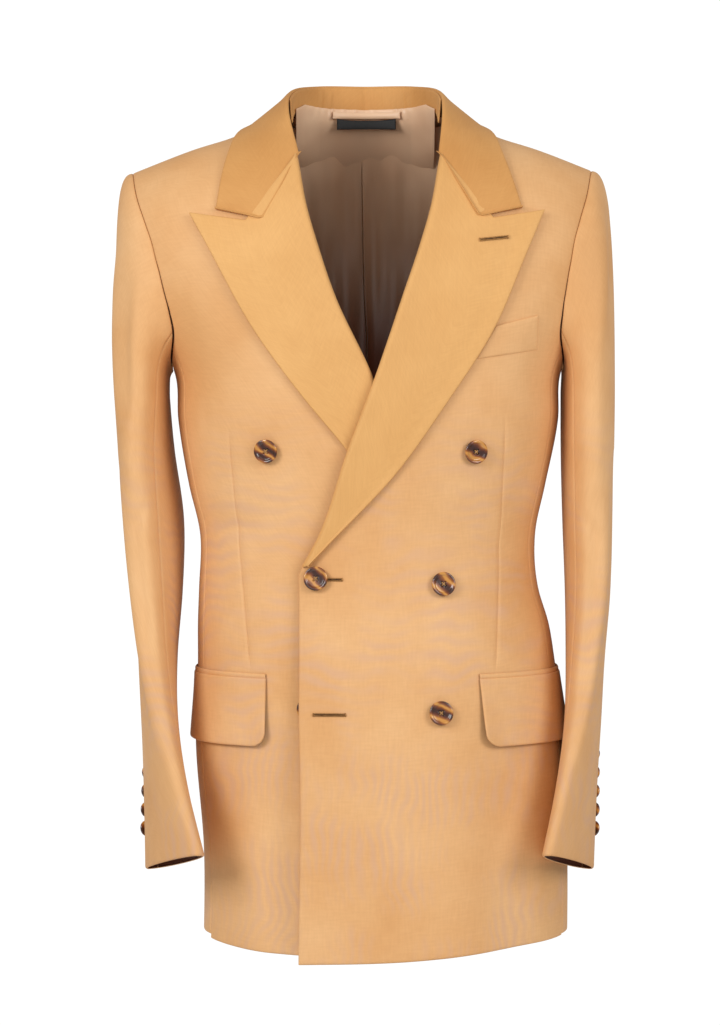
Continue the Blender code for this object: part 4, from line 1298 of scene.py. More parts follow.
@dataclass
class FlapPocket:
    """A side pocket: a jetted mouth and a flap that hangs over it."""

    form: BodyForm
    side: Side
    turn_in: float
    turn_out: float
    top_in: float = -0.5185
    top_out: float = -0.5135
    long: float = 0.158
    deep: float = 0.06
    corner: float = 0.011
    gap: float = 0.0014

    def laid(self, turns: Grid, rises: Grid, out: Grid | float) -> Grid:
        """Points on the front, moved out along its normals.

        Args:
            turns: the turns in degrees.
            rises: the rises.
            out: how far out from the cloth.

        Returns:
            The points.
        """
        surface = self.form.front(self.side)
        place = surface(turns, rises)
        normal = normals_of(place)
        normal *= -np.sign(normal[0, 0, 1])
        return place + normal * np.asarray(out)[..., None]

    def build(self, room: Workroom) -> None:
        """Makes the jet, a half round strip, and the flap, which curls off the front at its foot.

        Args:
            room: the workroom.
        """
        share = spread(44, self.long)
        turns = self.turn_in + (self.turn_out - self.turn_in) * share
        top = self.top_in + (self.top_out - self.top_in) * share
        from_end = np.minimum(share, 1 - share) * self.long
        short = np.clip(self.corner - from_end, 0, None)
        cut = self.corner - np.sqrt(np.clip(self.corner**2 - short**2, 0, None))
        down = spread(20, self.deep)[:, None]
        grid = top[None, :] - down * (self.deep - cut)[None, :]
        inner_end = ease(share, 0.1, 0.0)[None, :]
        out = self.gap + 0.0017 + 0.0022 * down**2 + 0.003 * inner_end * down**1.5
        out = out + 0.0006 * np.sin(share * 9.0 + self.side.value)[None, :] * down
        place = self.laid(np.broadcast_to(turns, grid.shape), grid, out)
        facing = place * np.array([1.0, 1.0, 0.0])
        room.cloth(Cloth(f"flap_{self.side.word}", place, facing, Finish.CLOTH, Finish.SATIN, 0.0016, 0.0005))
        lift = np.array([-0.0006, 0.0, 0.0008, 0.0018, 0.003, 0.0038, 0.0044, 0.0047])[:, None]
        bow = np.sin(np.linspace(0.15, 3.0, 8))[:, None]
        grid = top[None, :] + lift
        out = 0.0008 + 0.0016 * bow * np.ones_like(grid)
        place = self.laid(np.broadcast_to(turns, grid.shape), grid, out)
        room.cloth(Cloth(f"pocket_jet_{self.side.word}", place, place * np.array([1.0, 1.0, 0.0]),
                         Finish.CLOTH, Finish.CLOTH, 0.0009, 0.0))


@dataclass
class BreastWelt:
    """The slanted welt of the breast pocket, tucked under the lapel at its inner end."""

    form: BodyForm
    top: tuple[Spot, Spot] = (Spot(0.1165, -0.204), Spot(0.155, -0.1942))
    low: tuple[Spot, Spot] = (Spot(0.099, -0.2335), Spot(0.156, -0.2243))

    def build(self, room: Workroom) -> None:
        """Makes the welt: straight rows between its top and its foot, proud by its own wall.

        Args:
            room: the workroom.
        """
        share = spread(16, 0.05)[None, :, None]
        down = spread(9, 0.03)[:, None, None]
        high = np.array(self.top[0].pair) + (np.array(self.top[1].pair) - np.array(self.top[0].pair)) * share
        foot = np.array(self.low[0].pair) + (np.array(self.low[1].pair) - np.array(self.low[0].pair)) * share
        grid = high + (foot - high) * down
        out = 0.0021 - 0.0009 * down[..., 0] ** 2 * np.ones(grid.shape[:2])
        place = self.form.on_front(grid[..., 0], grid[..., 1], Side.LEFT, out)
        room.cloth(Cloth("breast_welt", place, FORWARD, Finish.CLOTH, Finish.CLOTH, 0.0012, 0.0006))


# ---------------------------------------------------------------- buttons and stitches


def tube(path: Grid, radius: float, sides: int) -> tuple[Grid, Grid]:
    """Points and faces of a round thread along a path, drawn to a point at both ends.

    Args:
        path: points along its middle.
        radius: its radius, away from the ends.
        sides: points round it.

    Returns:
        The points and the faces.
    """
    way = np.gradient(path, axis=0)
    way /= np.linalg.norm(way, axis=1, keepdims=True)
    first = np.cross(way, np.array([0.31, 0.22, 0.93]))
    first /= np.linalg.norm(first, axis=1, keepdims=True)
    second = np.cross(way, first)
    angle = np.linspace(0, 2 * math.pi, sides, endpoint=False)[None, :, None]
    size = radius * np.sqrt(np.clip(1 - np.linspace(-1, 1, len(path)) ** 4, 0.02, 1))[:, None, None]
    points = path[:, None] + size * (np.cos(angle) * first[:, None] + np.sin(angle) * second[:, None])
    return points, cells(len(path), sides, closed=True)


@dataclass
class Button:
    """A turned horn button with a rim, a dish and four holes, sewn on a shank of thread."""

    name: str
    place: Grid
    way: Grid
    diameter: float
    rings: int = 22
    sides: int = 72
    hole_at: float = 0.155
    hole_deep: float = 0.2
    stand: float = 0.1

    def build(self, room: Workroom) -> None:
        """Makes the button.

        Formula: a profile of reach and height turned round; the height of its top falls by the hole's
        depth within a hole's radius of each of the four hole centres, with a soft edge.

        Args:
            room: the workroom.
        """
        r = self.diameter / 2
        way = self.way / np.linalg.norm(self.way)
        first = np.cross(way, [0.0, 0.0, 1.0])
        first /= np.linalg.norm(first)
        second = np.cross(way, first)
        reach = np.array([0.02, 0.6, 0.86, 0.96, 1.0, 0.985, 0.94, 0.88, 0.8, 0.74, 0.69, 0.64])
        high = np.array([0.14, 0.13, 0.16, 0.22, 0.31, 0.38, 0.42, 0.43, 0.41, 0.36, 0.31, 0.29])
        dish = np.linspace(0.6, 0.004, self.rings)
        reach = np.concatenate([reach, dish])
        high = np.concatenate([high, 0.27 + 0.02 * (dish / 0.6) ** 2])
        angle = np.linspace(0, 2 * math.pi, self.sides, endpoint=False)
        u = reach[:, None] * np.cos(angle)[None, :]
        v = reach[:, None] * np.sin(angle)[None, :]
        tall = np.broadcast_to(high[:, None], u.shape).copy()
        top = np.arange(len(reach))[:, None] > 10
        for a in (-1, 1):
            for b in (-1, 1):
                apart = np.hypot(u - self.hole_at * a, v - self.hole_at * b)
                tall -= np.where(top, self.hole_deep * ease(apart, 0.105, 0.075), 0)
        points = self.place + r * (u[..., None] * first + v[..., None] * second
                                   + (tall + self.stand)[..., None] * way)
        parts = MeshParts()
        faces = cells(len(reach), self.sides, closed=True)
        parts.add(points, faces, Finish.HORN, np.stack([u, v], -1) * r)
        for a, b in ((-1, -1), (-1, 1)):
            t = np.linspace(-1, 1, 12)
            u, v = self.hole_at * a * t, self.hole_at * b * t
            path = (self.place + r * u[:, None] * first + r * v[:, None] * second
                    + r * (self.stand + 0.21 + 0.1 * (1 - t**4))[:, None] * way)
            points, faces = tube(path, 0.055 * r, 8)
            parts.add(points, faces, Finish.THREAD)
        path = self.place + np.linspace(-0.1, 0.26, 5)[:, None] * r * way
        points, faces = tube(path, 0.17 * r, 12)
        parts.add(points, faces, Finish.THREAD)
        room.solid(self.name, parts, Finish.HORN, [self.name])


@dataclass
class Buttonhole:
    """A worked buttonhole: two rows of fine stitches over a slit, with a bar at each end, and a black line in
    the slit that is painted shadow.
    """

    name: str
    form: BodyForm
    start: Spot
    end: Spot
    forward: float
    wide: float = 0.003
    pitch: float = 0.00075

    def build(self, room: Workroom) -> None:
        """Makes the stitches: small threads square to the slit, their lengths a little uneven.

        Args:
            room: the workroom.
        """
        first, last = np.array(self.start.pair), np.array(self.end.pair)
        size = float(np.linalg.norm(last - first))
        along = (last - first) / size
        across = np.array([-along[1], along[0]])
        parts = MeshParts()
        count = round(size / self.pitch)
        for i in range(count):
            for sign in (-1, 1):
                uneven = 1 + 0.14 * math.sin(i * 2.4 + sign)
                reach = np.linspace(0.06, 0.5 * uneven, 4)[:, None] * sign * self.wide
                spots = first + along * (i + 0.5) * self.pitch + across * reach
                bow = np.array([0.0001, 0.0006, 0.0006, -0.0001])
                path = self.form.on_front(spots[:, 0], spots[:, 1], Side.LEFT, self.forward + bow)
                points, faces = tube(path, 0.00042, 5)
                parts.add(points, faces, Finish.STITCH)
        for spot in (first, last):
            reach = np.linspace(-0.62, 0.62, 6)[:, None] * self.wide
            spots = spot + across * reach
            path = self.form.on_front(spots[:, 0], spots[:, 1], Side.LEFT,
                                      self.forward + 0.0007 * np.cos(np.linspace(-1.5, 1.5, 6)))
            points, faces = tube(path, 0.00055, 6)
            parts.add(points, faces, Finish.STITCH)
        # a thin black thread along the slit: painted shadow in the cut
        slit = np.linspace(0.03, 0.97, 16)[:, None]
        spots = first + (last - first) * slit
        path = self.form.on_front(spots[:, 0], spots[:, 1], Side.LEFT, self.forward + 0.0001)
        points, faces = tube(path, 0.0004, 6)
        parts.add(points, faces, Finish.LABEL)
        room.solid(self.name, parts, Finish.STITCH)


@dataclass(frozen=True)
class ButtonPlace:
    """Where a front button is sewn."""

    name: str
    spot: Spot
    side: Side


@dataclass
class Fastenings:
    """The front buttons, the cuff buttons and the buttonholes."""

    form: BodyForm
    sleeves: tuple[Sleeve, Sleeve]
    front_diameter: float = 0.0215
    cuff_diameter: float = 0.0145
    cuff_angle: float = 172.0
    cuff_first: float = 0.035
    cuff_step: float = 0.016
    places: tuple[ButtonPlace, ...] = (
        ButtonPlace("button_top_right", Spot(-0.088, -0.315), Side.RIGHT),
        ButtonPlace("button_top_left", Spot(0.097, -0.3155), Side.LEFT),
        ButtonPlace("button_middle_right", Spot(-0.044, -0.429), Side.LEFT),
        ButtonPlace("button_middle_left", Spot(0.0686, -0.434), Side.LEFT),
        ButtonPlace("button_low_right", Spot(-0.05, -0.545), Side.RIGHT),
        ButtonPlace("button_low_left", Spot(0.0665, -0.548), Side.LEFT))

    def build(self, room: Workroom) -> None:
        """Sews every button on along the normal of its cloth, and works the buttonholes.

        Args:
            room: the workroom.
        """
        for button in self.places:
            x = button.spot.x + np.array([[-0.002, 0.002]] * 2)
            z = button.spot.z + np.array([[-0.002] * 2, [0.002] * 2])
            patch = self.form.on_front(x, z, button.side, 0.0)
            way = normals_of(patch).mean((0, 1))
            way *= -np.sign(way[1])
            Button(button.name, patch.mean((0, 1)), way, self.front_diameter).build(room)
        for sleeve in self.sleeves:
            arm = sleeve.rings[0].z - sleeve.rings[-1].z
            for i in range(5):
                length = 2 - (self.cuff_first + self.cuff_step * i) / arm
                angles, lengths = np.meshgrid(self.cuff_angle + np.array([-2.0, 2.0]),
                                              length + np.array([-0.01, 0.01]))
                patch = sleeve.surface(angles, lengths)
                way = normals_of(patch).mean((0, 1))
                way *= np.sign(way[1])
                Button(f"cuff_button_{sleeve.side.word}_{i + 1}", patch.mean((0, 1)), way,
                       self.cuff_diameter, 10, 36).build(room)
        for name, start, end, forward in (
                ("middle", Spot(-0.0345, -0.4297), Spot(-0.0208, -0.4297), 0.0003),
                ("low", Spot(-0.0468, -0.5493), Spot(-0.0178, -0.5493), 0.0003),
                ("lapel", Spot(0.1015, -0.1275), Spot(0.127, -0.1245), 0.0042)):
            Buttonhole(f"buttonhole_{name}", self.form, start, end, forward).build(room)


@dataclass
class NeckTrim:
    """The hanger loop and the bare label, sewn to the lining of the back neck."""

    form: BodyForm
    collar: Collar
    ahead: float = 0.0065       # the strips hang this far in front of the neck edge
    half_wide: float = 0.0635   # of the top of the lining
    low_z: float = -0.05

    def neck_edge(self, x: Grid) -> tuple[Grid, Grid]:
        """Depth and height of the cut edge of the back neck, at distances across.

        Args:
            x: distances across.

        Returns:
            The depths and the heights.
        """
        z = self.form.neck_z * np.abs(x) / self.form.neck_x
        rise = self.form.rise_at(x, z)
        return self.form.bare_point(180.0 - self.form.turn_at(x, rise), rise)[..., 1], z

    def strip(self, name: str, half_wide: float, top: float, foot: float, sag: float, bow: float,
              finish: Finish, room: Workroom) -> None:
        """A strip that hangs inside the neck edge.

        Formula: level rows between two heights, drawn in by a parabola along the edges, and bowed
        forward by another across it.

        Args:
            name: the piece's name.
            half_wide: half its width.
            top: height of its top.
            foot: height of its foot.
            sag: how far its edges are drawn in at the middle.
            bow: how far it bows forward.
            finish: what it is made of.
            room: the workroom.
        """
        share = spread(40, 2 * half_wide, (0.0005, 0.0012)) * 2 - 1
        down = spread(8, top - foot, (0.0004, 0.001))[:, None]
        x = 0.001 + share * half_wide
        edge_y, _ = self.neck_edge(x)
        z = top + (foot - top) * down + sag * (1 - share**2)[None, :] * (2 * down - 1)
        y = edge_y - self.ahead - bow * (1 - share**4)[None, :] * np.sin(math.pi * down)
        grid = np.stack(np.broadcast_arrays(x[None, :], y, z), -1)
        room.cloth(Cloth(name, grid, FORWARD, finish, finish, 0.0008, 0.0003))

    def facing(self, room: Workroom) -> None:
        """The top of the lining, which is sewn to the stand and falls inside the neck edge.

        Formula: a quadratic curve for each place across, from the stand, by way of the neck edge, to
        the lining below, with gathers: narrow ridges at uneven places, longest near the label.

        Args:
            room: the workroom.
        """
        form = self.form
        x = np.linspace(-self.half_wide, self.half_wide, 240)
        edge_y, edge_z = self.neck_edge(x)
        shares = np.linspace(0, 0.6, 60)
        folds = np.array([self.collar.line(share, "fold", Side.LEFT) for share in shares])
        stand_y = np.interp(np.abs(x), folds[:, 0] - 0.0026, folds[:, 1] - 0.0048)
        low_z = np.full(x.shape, self.low_z)
        rise = form.rise_at(x, low_z)
        low_y = form.bare_point(180.0 - form.turn_at(x, rise), rise)[..., 1] - 0.004
        tops = np.stack([x * 0.985, stand_y, 0.0066 - 0.9 * np.clip(np.abs(x) - 0.056, 0, None)], -1)
        middles = np.stack([x, np.minimum(edge_y - 0.0034, stand_y - 0.001), edge_z - 0.004], -1)
        lows = np.stack([x * 1.02, low_y, low_z], -1)
        t = spread(60, 0.06)[:, None, None]
        grid = (1 - t) ** 2 * tops + 2 * t * (1 - t) * middles + t**2 * lows
        gathers = ((-0.05, 0.003, 0.3), (-0.044, 0.0022, 0.55), (-0.0385, 0.003, 0.8),
                   (-0.031, 0.0018, 0.45), (-0.0215, 0.003, 0.65), (-0.01, 0.0032, 0.4),
                   (0.006, 0.0035, 0.45), (0.029, 0.002, 0.5), (0.0345, 0.0022, 0.6),
                   (0.04, 0.0028, 0.35), (0.052, 0.004, 0.5))
        push = np.zeros(grid.shape[:2])
        for place, wide, reach in gathers:
            lean = place + 0.004 * t[..., 0] * np.sign(place)
            spread_out = wide * (1 + 1.5 * t[..., 0])
            push += 0.0019 * np.exp(-(((x[None, :] - lean) / spread_out) ** 2)) * ease(t[..., 0], reach, 0.05)
        push += 0.0034 * np.exp(-(((grid[..., 2] + 0.008) / 0.012) ** 2))
        grid[..., 1] -= push
        room.cloth(Cloth("neck_facing", grid, FORWARD, Finish.SATIN, Finish.SATIN,
                         0.0006, 0.0002), own_node=False)

    def build(self, room: Workroom) -> None:
        """Makes the top of the lining, the loop and the label, whose edges draw in at its middle.

        Args:
            room: the workroom.
        """
        self.facing(room)
        self.strip("hanger_loop", 0.031, 0.0035, -0.003, 0.0, 0.0016, Finish.SATIN, room)
        self.strip("neck_label", 0.027, -0.0034, -0.013, 0.0009, 0.0004, Finish.LABEL, room)


# ---------------------------------------------------------------- finishes

WAVE_LENGTH = math.pi / 10   # a wave texture of scale 1 repeats this many metres apart


def linear(hex_colour: str) -> tuple[float, float, float, float]:
    """An sRGB hex colour as linear numbers."""
    parts = [int(hex_colour[i:i + 2], 16) / 255 for i in (1, 3, 5)]
    return (*[c / 12.92 if c <= 0.04045 else ((c + 0.055) / 1.055) ** 2.4 for c in parts], 1.0)


def add_node(tree: bpy.types.NodeTree, kind: str, settings: dict[str, object] | None = None,
             inputs: dict[int | str, object] | None = None) -> bpy.types.Node:
    """Adds a node, sets its settings, and sets or links its inputs.

    Args:
        tree: the node tree.
        kind: the node's type.
        settings: attributes of the node.
        inputs: input name or number, and a value or an output to link.

    Returns:
        The node.
    """
    node = tree.nodes.new(kind)
    for name, value in (settings or {}).items():
        setattr(node, name, value)
    for name, value in (inputs or {}).items():
        if isinstance(value, Socket):
            tree.links.new(value, node.inputs[name])
        else:
            node.inputs[name].default_value = value
    return node


def ramp(tree: bpy.types.NodeTree, amount: Socket, stops: Sequence[tuple[float, str]]) -> Socket:
    """A colour that follows an amount through stops of place and hex colour.

    Args:
        tree: the node tree.
        amount: what picks the colour.
        stops: places from 0 to 1 and their hex colours.

    Returns:
        The colour.
    """
    node = add_node(tree, "ShaderNodeValToRGB", inputs={"Fac": amount})
    elements = node.color_ramp.elements
    while len(elements) < len(stops):
        elements.new(0.5)
    for element, (at, colour) in zip(elements, stops):
        element.position = at
        element.color = linear(colour)
    return node.outputs["Color"]


@dataclass(frozen=True)
class Material:
    """A finish: its name, and a Principled surface with the values that are the same all over."""

    name: str
    roughness: float
    sheen: float = 0.0
    sheen_tint: str = "#FFFFFF"
    coat: float = 0.0
    ior: float = 1.5

    def start(self) -> tuple[bpy.types.Material, bpy.types.NodeTree, bpy.types.Node]:
        """Makes the material with its even values set on the surface's own sockets.

        Returns:
            The material, its node tree and its surface.
        """
        made = bpy.data.materials.new(self.name)
        made.use_nodes = True
        tree = made.node_tree
        surface = tree.nodes["Principled BSDF"]
        surface.inputs["Roughness"].default_value = self.roughness
        surface.inputs["Sheen Weight"].default_value = self.sheen
        surface.inputs["Sheen Roughness"].default_value = 0.35
        surface.inputs["Sheen Tint"].default_value = linear(self.sheen_tint)
        surface.inputs["Coat Weight"].default_value = self.coat
        surface.inputs["Coat Roughness"].default_value = 0.06
        surface.inputs["IOR"].default_value = self.ior
        return made, tree, surface


@dataclass(frozen=True)
class WoolMohair(Material):
    """Plain-woven wool and mohair suiting: matt, a little lustrous, with slubs in both directions.

    The real thread spacing of 0.4 mm is too fine to show, so the slubs of several threads are drawn,
    2 mm wide and 14 mm long, and the broad shimmer that two close weaves give where they cross.
    """

    tone: str = "#E3B27C"
    shade: str = "#D9A268"
    shimmer: str = "#CFA283"
    amount: float = 0.55

    def make(self) -> bpy.types.Material:
        """Builds the nodes: slubs from stretched noise, shimmer from bent waves, a fine weave bump.

        Returns:
            The material.
        """
        made, tree, surface = self.start()
        place = add_node(tree, "ShaderNodeTexCoord")
        flat = add_node(tree, "ShaderNodeUVMap", {"uv_map": "cloth"}).outputs["UV"]
        warp = add_node(tree, "ShaderNodeMapping", inputs={"Vector": flat, "Scale": (520, 70, 1)})
        weft = add_node(tree, "ShaderNodeMapping", inputs={"Vector": flat, "Scale": (70, 520, 1)})
        slubs = [add_node(tree, "ShaderNodeTexNoise",
                          inputs={"Vector": threads.outputs[0], "Scale": 1.0, "Detail": 2.0})
                 for threads in (warp, weft)]
        both = add_node(tree, "ShaderNodeMath", {"operation": "ADD"},
                        {0: slubs[0].outputs["Fac"], 1: slubs[1].outputs["Fac"]}).outputs[0]
        grain = add_node(tree, "ShaderNodeMapRange", inputs={"Value": both, "From Min": 0.7, "From Max": 1.3})
        cloud = add_node(tree, "ShaderNodeTexNoise", inputs={"Vector": place.outputs["Object"], "Scale": 9.0,
                                                             "Detail": 3.0, "Roughness": 0.55})
        base = ramp(tree, cloud.outputs["Fac"], [(0.35, self.shade), (0.65, self.tone)])
        fleck = ramp(tree, grain.outputs[0], [(0.0, "#E6DCCF"), (1.0, "#FFFFFF")])
        colour = add_node(tree, "ShaderNodeMix", {"data_type": "RGBA", "blend_type": "MULTIPLY"},
                          {"Factor": 0.3, 6: base, 7: fleck})
        final = colour.outputs[2]
        if self.amount:
            final = self.shimmering(tree, place.outputs["Object"], final)
        tree.links.new(final, surface.inputs["Base Color"])
        bump = add_node(tree, "ShaderNodeBump", inputs={"Height": both, "Strength": 0.1, "Distance": 0.0005})
        tree.links.new(bump.outputs[0], surface.inputs["Normal"])
        return made

    def shimmering(self, tree: bpy.types.NodeTree, place: Socket,
                   base: Socket) -> Socket:
        """Mixes in the shimmer: level waves at the waist, upright ones below, blotchy by a noise.

        Args:
            tree: the node tree.
            place: coordinates of the object.
            base: the cloth's colour.

        Returns:
            The colour with the shimmer in it.
        """
        bend = add_node(tree, "ShaderNodeTexNoise", inputs={"Vector": place, "Scale": 13.0, "Detail": 2.0})
        offset = add_node(tree, "ShaderNodeVectorMath", {"operation": "SCALE"},
                          {0: bend.outputs["Color"], "Scale": 0.055})
        moved = add_node(tree, "ShaderNodeVectorMath", {"operation": "ADD"}, {0: place, 1: offset.outputs[0]})
        waves = []
        for axis, spacing in (("Z", 0.0125), ("X", 0.0085)):
            waves.append(add_node(tree, "ShaderNodeTexWave", {"bands_direction": axis},
                                  {"Vector": moved.outputs[0], "Scale": WAVE_LENGTH / spacing,
                                   "Distortion": 1.2, "Detail": 1.0, "Detail Scale": 0.4}).outputs["Fac"])
        height = add_node(tree, "ShaderNodeSeparateXYZ", inputs={"Vector": place}).outputs["Z"]
        low = add_node(tree, "ShaderNodeMapRange", {"interpolation_type": "SMOOTHSTEP"},
                       {"Value": height, "From Min": -0.53, "From Max": -0.62}).outputs[0]
        wave = add_node(tree, "ShaderNodeMix", {"data_type": "FLOAT"},
                        {0: low, 2: waves[0], 3: waves[1]}).outputs[0]
        patches = add_node(tree, "ShaderNodeTexNoise", inputs={"Vector": place, "Scale": 17.0, "Detail": 2.0})
        shown = add_node(tree, "ShaderNodeMapRange",
                         inputs={"Value": patches.outputs["Fac"], "From Min": 0.42, "From Max": 0.62,
                                 "To Max": self.amount})
        reach = add_node(tree, "ShaderNodeMapRange", {"interpolation_type": "SMOOTHSTEP"},
                         {"Value": height, "From Min": -0.24, "From Max": -0.4}).outputs[0]
        shown = add_node(tree, "ShaderNodeMath", {"operation": "MULTIPLY"}, {0: shown.outputs[0], 1: reach})
        fac = add_node(tree, "ShaderNodeMath", {"operation": "MULTIPLY"},
                       {0: shown.outputs[0], 1: wave}).outputs[0]
        return add_node(tree, "ShaderNodeMix", {"data_type": "RGBA"},
                        {"Factor": fac, 6: base, 7: linear(self.shimmer)}).outputs[2]


@dataclass(frozen=True)
class Satin(Material):
    """Woven satin lining: smooth, with a soft broken gloss and faint lengthwise threads.

    It is its own pale tone at the neck and darkens lower down, by height, towards a deep brown: painted shade,
    where less light reaches inside the body.
    """

    tone: str = "#EFCBA8"
    shade: str = "#E0B692"
    # colour of the painted shade deep inside the body
    deep: str = "#5E260F"

    def make(self) -> bpy.types.Material:
        """Builds the nodes: threads from stretched noise, tint from a broad one, and painted shade that darkens
        it by height.

        Returns:
            The material.
        """
        made, tree, surface = self.start()
        place = add_node(tree, "ShaderNodeTexCoord").outputs["Object"]
        threads = add_node(tree, "ShaderNodeMapping", inputs={"Vector": place, "Scale": (900, 60, 40)})
        fine = add_node(tree, "ShaderNodeTexNoise", inputs={"Vector": threads.outputs[0], "Scale": 1.0})
        cloud = add_node(tree, "ShaderNodeTexNoise", inputs={"Vector": place, "Scale": 14.0, "Detail": 2.0})
        height = add_node(tree, "ShaderNodeSeparateXYZ", inputs={"Vector": place}).outputs["Z"]
        # painted shade: the lining is mixed towards the deep colour lower down
        low = add_node(tree, "ShaderNodeMapRange", {"interpolation_type": "SMOOTHSTEP"},
                       {"Value": height, "From Min": -0.005, "From Max": -0.24, "To Max": 0.96}).outputs[0]
        pale = ramp(tree, cloud.outputs["Fac"], [(0.3, self.shade), (0.7, self.tone)])
        painted_shade_mix = add_node(tree, "ShaderNodeMix", {"data_type": "RGBA"},
                         {"Factor": low, 6: pale, 7: linear(self.deep)})
        tree.links.new(painted_shade_mix.outputs[2], surface.inputs["Base Color"])
        bump = add_node(tree, "ShaderNodeBump", inputs={"Height": fine.outputs["Fac"], "Strength": 0.1,
                                                        "Distance": 0.0004})
        tree.links.new(bump.outputs[0], surface.inputs["Normal"])
        return made


@dataclass(frozen=True)
class Horn(Material):
    """Polished buffalo horn: dark brown with amber streaks, under a clear gloss."""

    def make(self) -> bpy.types.Material:
        """Builds the nodes: streaks from a wave bent by noise, one every 11 mm before it is bent.

        Returns:
            The material.
        """
        made, tree, surface = self.start()
        place = add_node(tree, "ShaderNodeTexCoord").outputs["Object"]
        turned = add_node(tree, "ShaderNodeMapping", inputs={"Vector": place, "Rotation": (0.3, 0.9, 0.5)})
        wave = add_node(tree, "ShaderNodeTexWave",
                        inputs={"Vector": turned.outputs[0], "Scale": 28.0, "Distortion": 5.0,
                                "Detail": 3.0, "Detail Scale": 1.2})
        streaks = ramp(tree, wave.outputs["Fac"],
                       [(0.1, "#3A1607"), (0.5, "#67300F"), (0.8, "#955319"), (0.97, "#C88A3C")])
        tree.links.new(streaks, surface.inputs["Base Color"])
        return made


@dataclass(frozen=True)
class Plain(Material):
    """Thread or woven tape: one tone, a little uneven along its fibres."""

    tone: str = "#000000"
    shade: str = "#000000"
    scale: float = 600.0

    def make(self) -> bpy.types.Material:
        """Builds the nodes: tone from a fine noise, which also roughens the surface.

        Returns:
            The material.
        """
        made, tree, surface = self.start()
        place = add_node(tree, "ShaderNodeTexCoord").outputs["Object"]
        noise = add_node(tree, "ShaderNodeTexNoise",
                         inputs={"Vector": place, "Scale": self.scale, "Detail": 2.0})
        tree.links.new(ramp(tree, noise.outputs["Fac"], [(0.35, self.shade), (0.65, self.tone)]),
                       surface.inputs["Base Color"])
        bump = add_node(tree, "ShaderNodeBump", inputs={"Height": noise.outputs["Fac"], "Strength": 0.2,
                                                        "Distance": 0.0003})
        tree.links.new(bump.outputs[0], surface.inputs["Normal"])
        return made


def make_finishes() -> dict[Finish, bpy.types.Material]:
    """Every finish of the jacket."""
    return {
        Finish.CLOTH: WoolMohair("wool_mohair_suiting", 0.72, 0.1, "#FFE2C0").make(),
        # the suiting again, without the shimmer and in a darker tone: painted shade on the lapels
        Finish.LAPEL: WoolMohair("wool_mohair_lapel", 0.72, 0.1, "#FFE2C0",
                                 tone="#DFAB69", shade="#D6A05E", amount=0.0).make(),
        # the suiting again, in a darker tone: painted shade on the collar, which gets less light on top
        Finish.COLLAR: WoolMohair("wool_mohair_collar", 0.74, 0.08, "#FFE2C0",
                                  tone="#D49C5A", shade="#C98E4C", amount=0.0).make(),
        Finish.SATIN: Satin("viscose_satin_lining", 0.42, 0.05).make(),
        # black tape of the label, also used as the painted shadow in the buttonhole slits
        Finish.LABEL: Plain("woven_black_tape", 0.7, tone="#141414", shade="#0A0A0B").make(),
        Finish.HORN: Horn("polished_horn", 0.22, coat=0.6, ior=1.54).make(),
        Finish.THREAD: Plain("sewing_thread", 0.6, tone="#B98A50", shade="#8F6636").make(),
        Finish.STITCH: Plain("buttonhole_silk", 0.5, tone="#B98546", shade="#96642C").make(),
    }


# ---------------------------------------------------------------- studio


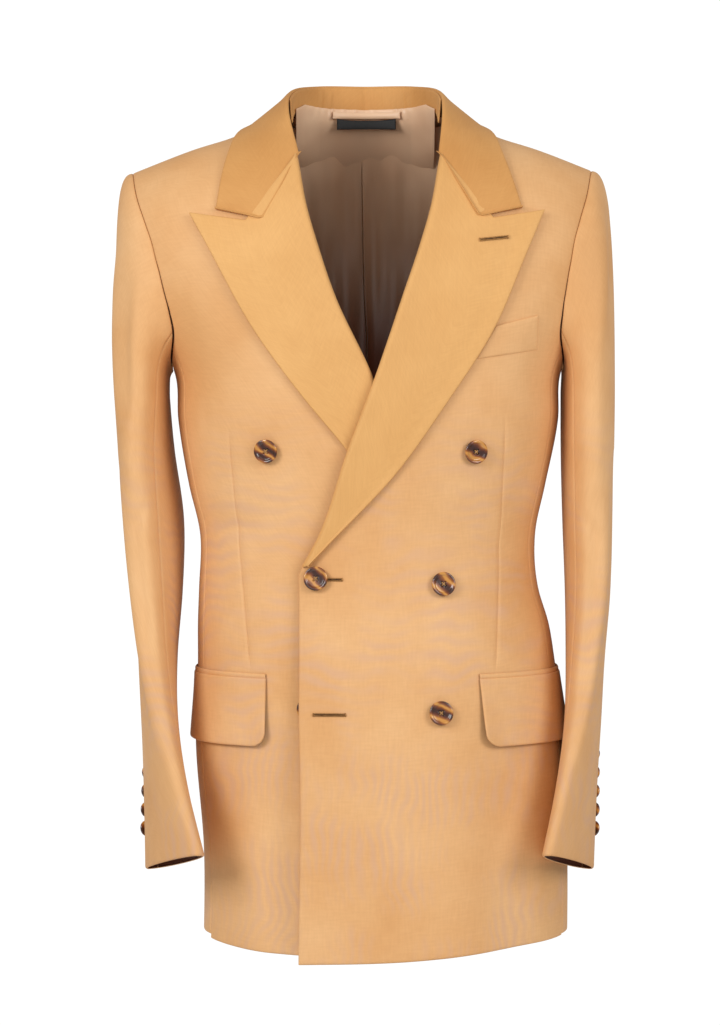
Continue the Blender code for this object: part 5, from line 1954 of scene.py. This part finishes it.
@dataclass
class Studio:
    """Camera level with the waist, a pale floor, and soft light from above and in front."""

    middle: tuple[float, float, float] = (-0.005, 0.0, -0.37)
    distance: float = 3.2
    tall: float = 0.943
    floor_z: float = -1.02
    floor_radius: float = 1.05

    def area(self, name: str, place: tuple[float, float, float], aim: tuple[float, float, float], size: float,
             power: float) -> None:
        """A square soft light that faces its aim.

        Args:
            name: the light's name.
            place: where it stands.
            aim: what it faces.
            size: length of its sides.
            power: its power in watts.
        """
        data = bpy.data.lights.new(name, "AREA")
        data.size = size
        data.energy = power
        lamp = bpy.data.objects.new(name, data)
        bpy.context.collection.objects.link(lamp)
        way = np.array(aim) - np.array(place)
        lamp.location = place
        lamp.rotation_euler = (math.atan2(math.hypot(way[0], way[1]), -way[2]), 0.0,
                               math.atan2(-way[0], way[1]))

    def build(self) -> None:
        """Sets the camera, the world, the lights and the floor."""
        scene = bpy.context.scene
        data = bpy.data.cameras.new("view")
        data.sensor_width = 36.0
        data.lens = 36.0 * self.distance / self.tall
        camera = bpy.data.objects.new("view", data)
        camera.location = (self.middle[0], -self.distance, self.middle[2])
        camera.rotation_euler = (math.radians(90), 0, 0)
        scene.collection.objects.link(camera)
        scene.camera = camera
        scene.view_settings.view_transform = "Standard"
        world = bpy.data.worlds.new("studio")
        scene.world = world
        world.use_nodes = True
        tree = world.node_tree
        tree.nodes.clear()
        path = add_node(tree, "ShaderNodeLightPath")
        soft = add_node(tree, "ShaderNodeBackground", inputs={"Color": linear("#FFFFFF"), "Strength": 0.43})
        bright = add_node(tree, "ShaderNodeBackground", inputs={"Color": linear("#FFFFFF"), "Strength": 1.05})
        mix = add_node(tree, "ShaderNodeMixShader",
                       inputs={0: path.outputs["Is Camera Ray"], 1: soft.outputs[0], 2: bright.outputs[0]})
        add_node(tree, "ShaderNodeOutputWorld", inputs={"Surface": mix.outputs[0]})
        self.area("key", (-1.4, -1.6, 0.42), (0.0, 0.0, -0.16), 0.9, 26.0)
        self.area("fill", (1.5, -1.6, 0.36), (0.0, 0.0, -0.18), 1.0, 21.0)
        self.area("front", (-0.2, -2.4, 0.4), (0.0, 0.0, -0.16), 1.2, 5.0)
        angle = np.linspace(0, 2 * math.pi, 96, endpoint=False)
        ring = np.stack([np.cos(angle), np.sin(angle), np.zeros(96)], -1)
        reach = np.array([0.001, 0.4, 0.8, 0.97, 1.0, 1.0])[:, None, None] * self.floor_radius
        drop = np.array([0, 0, 0, 0, -0.006, -0.03])[:, None, None] * np.array([0, 0, 1.0])
        points = ring[None] * reach + drop + np.array([0, 0, self.floor_z])
        parts = MeshParts()
        parts.add(points, cells(6, 96, closed=True), Finish.FLOOR)
        floor = parts.build("floor", {Finish.FLOOR: Plain("pale_floor", 0.8, tone="#F2F0EC", shade="#EDEBE7",
                                                          scale=3.0).make()})


def main() -> None:
    """Makes the whole jacket and the studio round it."""
    logging.basicConfig(level=logging.INFO, format="%(name)s: %(message)s")
    form = BodyForm()
    room = Workroom(make_finishes())
    sleeves = (Sleeve(form, Side.LEFT, SLEEVE_LEFT, SLEEVE_FOLDS_LEFT),
               Sleeve(form, Side.RIGHT, SLEEVE_RIGHT, SLEEVE_FOLDS_RIGHT))
    Bodice(form).build(room)
    for sleeve in sleeves:
        sleeve.build(room)
    collar = Collar(form)
    collar.build(room)
    Lapel(form, Side.LEFT, collar.corners(Side.LEFT),
          (Spot(0.1605, -0.0985), Spot(0.143, -0.14), Spot(0.115, -0.2055), Spot(0.072, -0.273),
           Spot(0.029, -0.333), Spot(-0.036, -0.4015), Spot(-0.051, -0.417))).build(room)
    Lapel(form, Side.RIGHT, collar.corners(Side.RIGHT),
          (Spot(-0.158, -0.1015), Spot(-0.143, -0.129), Spot(-0.1, -0.207), Spot(-0.057, -0.266),
           Spot(-0.0165, -0.315), Spot(0.036, -0.39), Spot(0.056, -0.417))).build(room)
    FlapPocket(form, Side.LEFT, 29.6, 99.0).build(room)
    FlapPocket(form, Side.RIGHT, -33.2, -103.0).build(room)
    BreastWelt(form).build(room)
    Fastenings(form, sleeves).build(room)
    NeckTrim(form, collar).build(room)
    Studio().build()


if __name__ == "__main__":
    main()
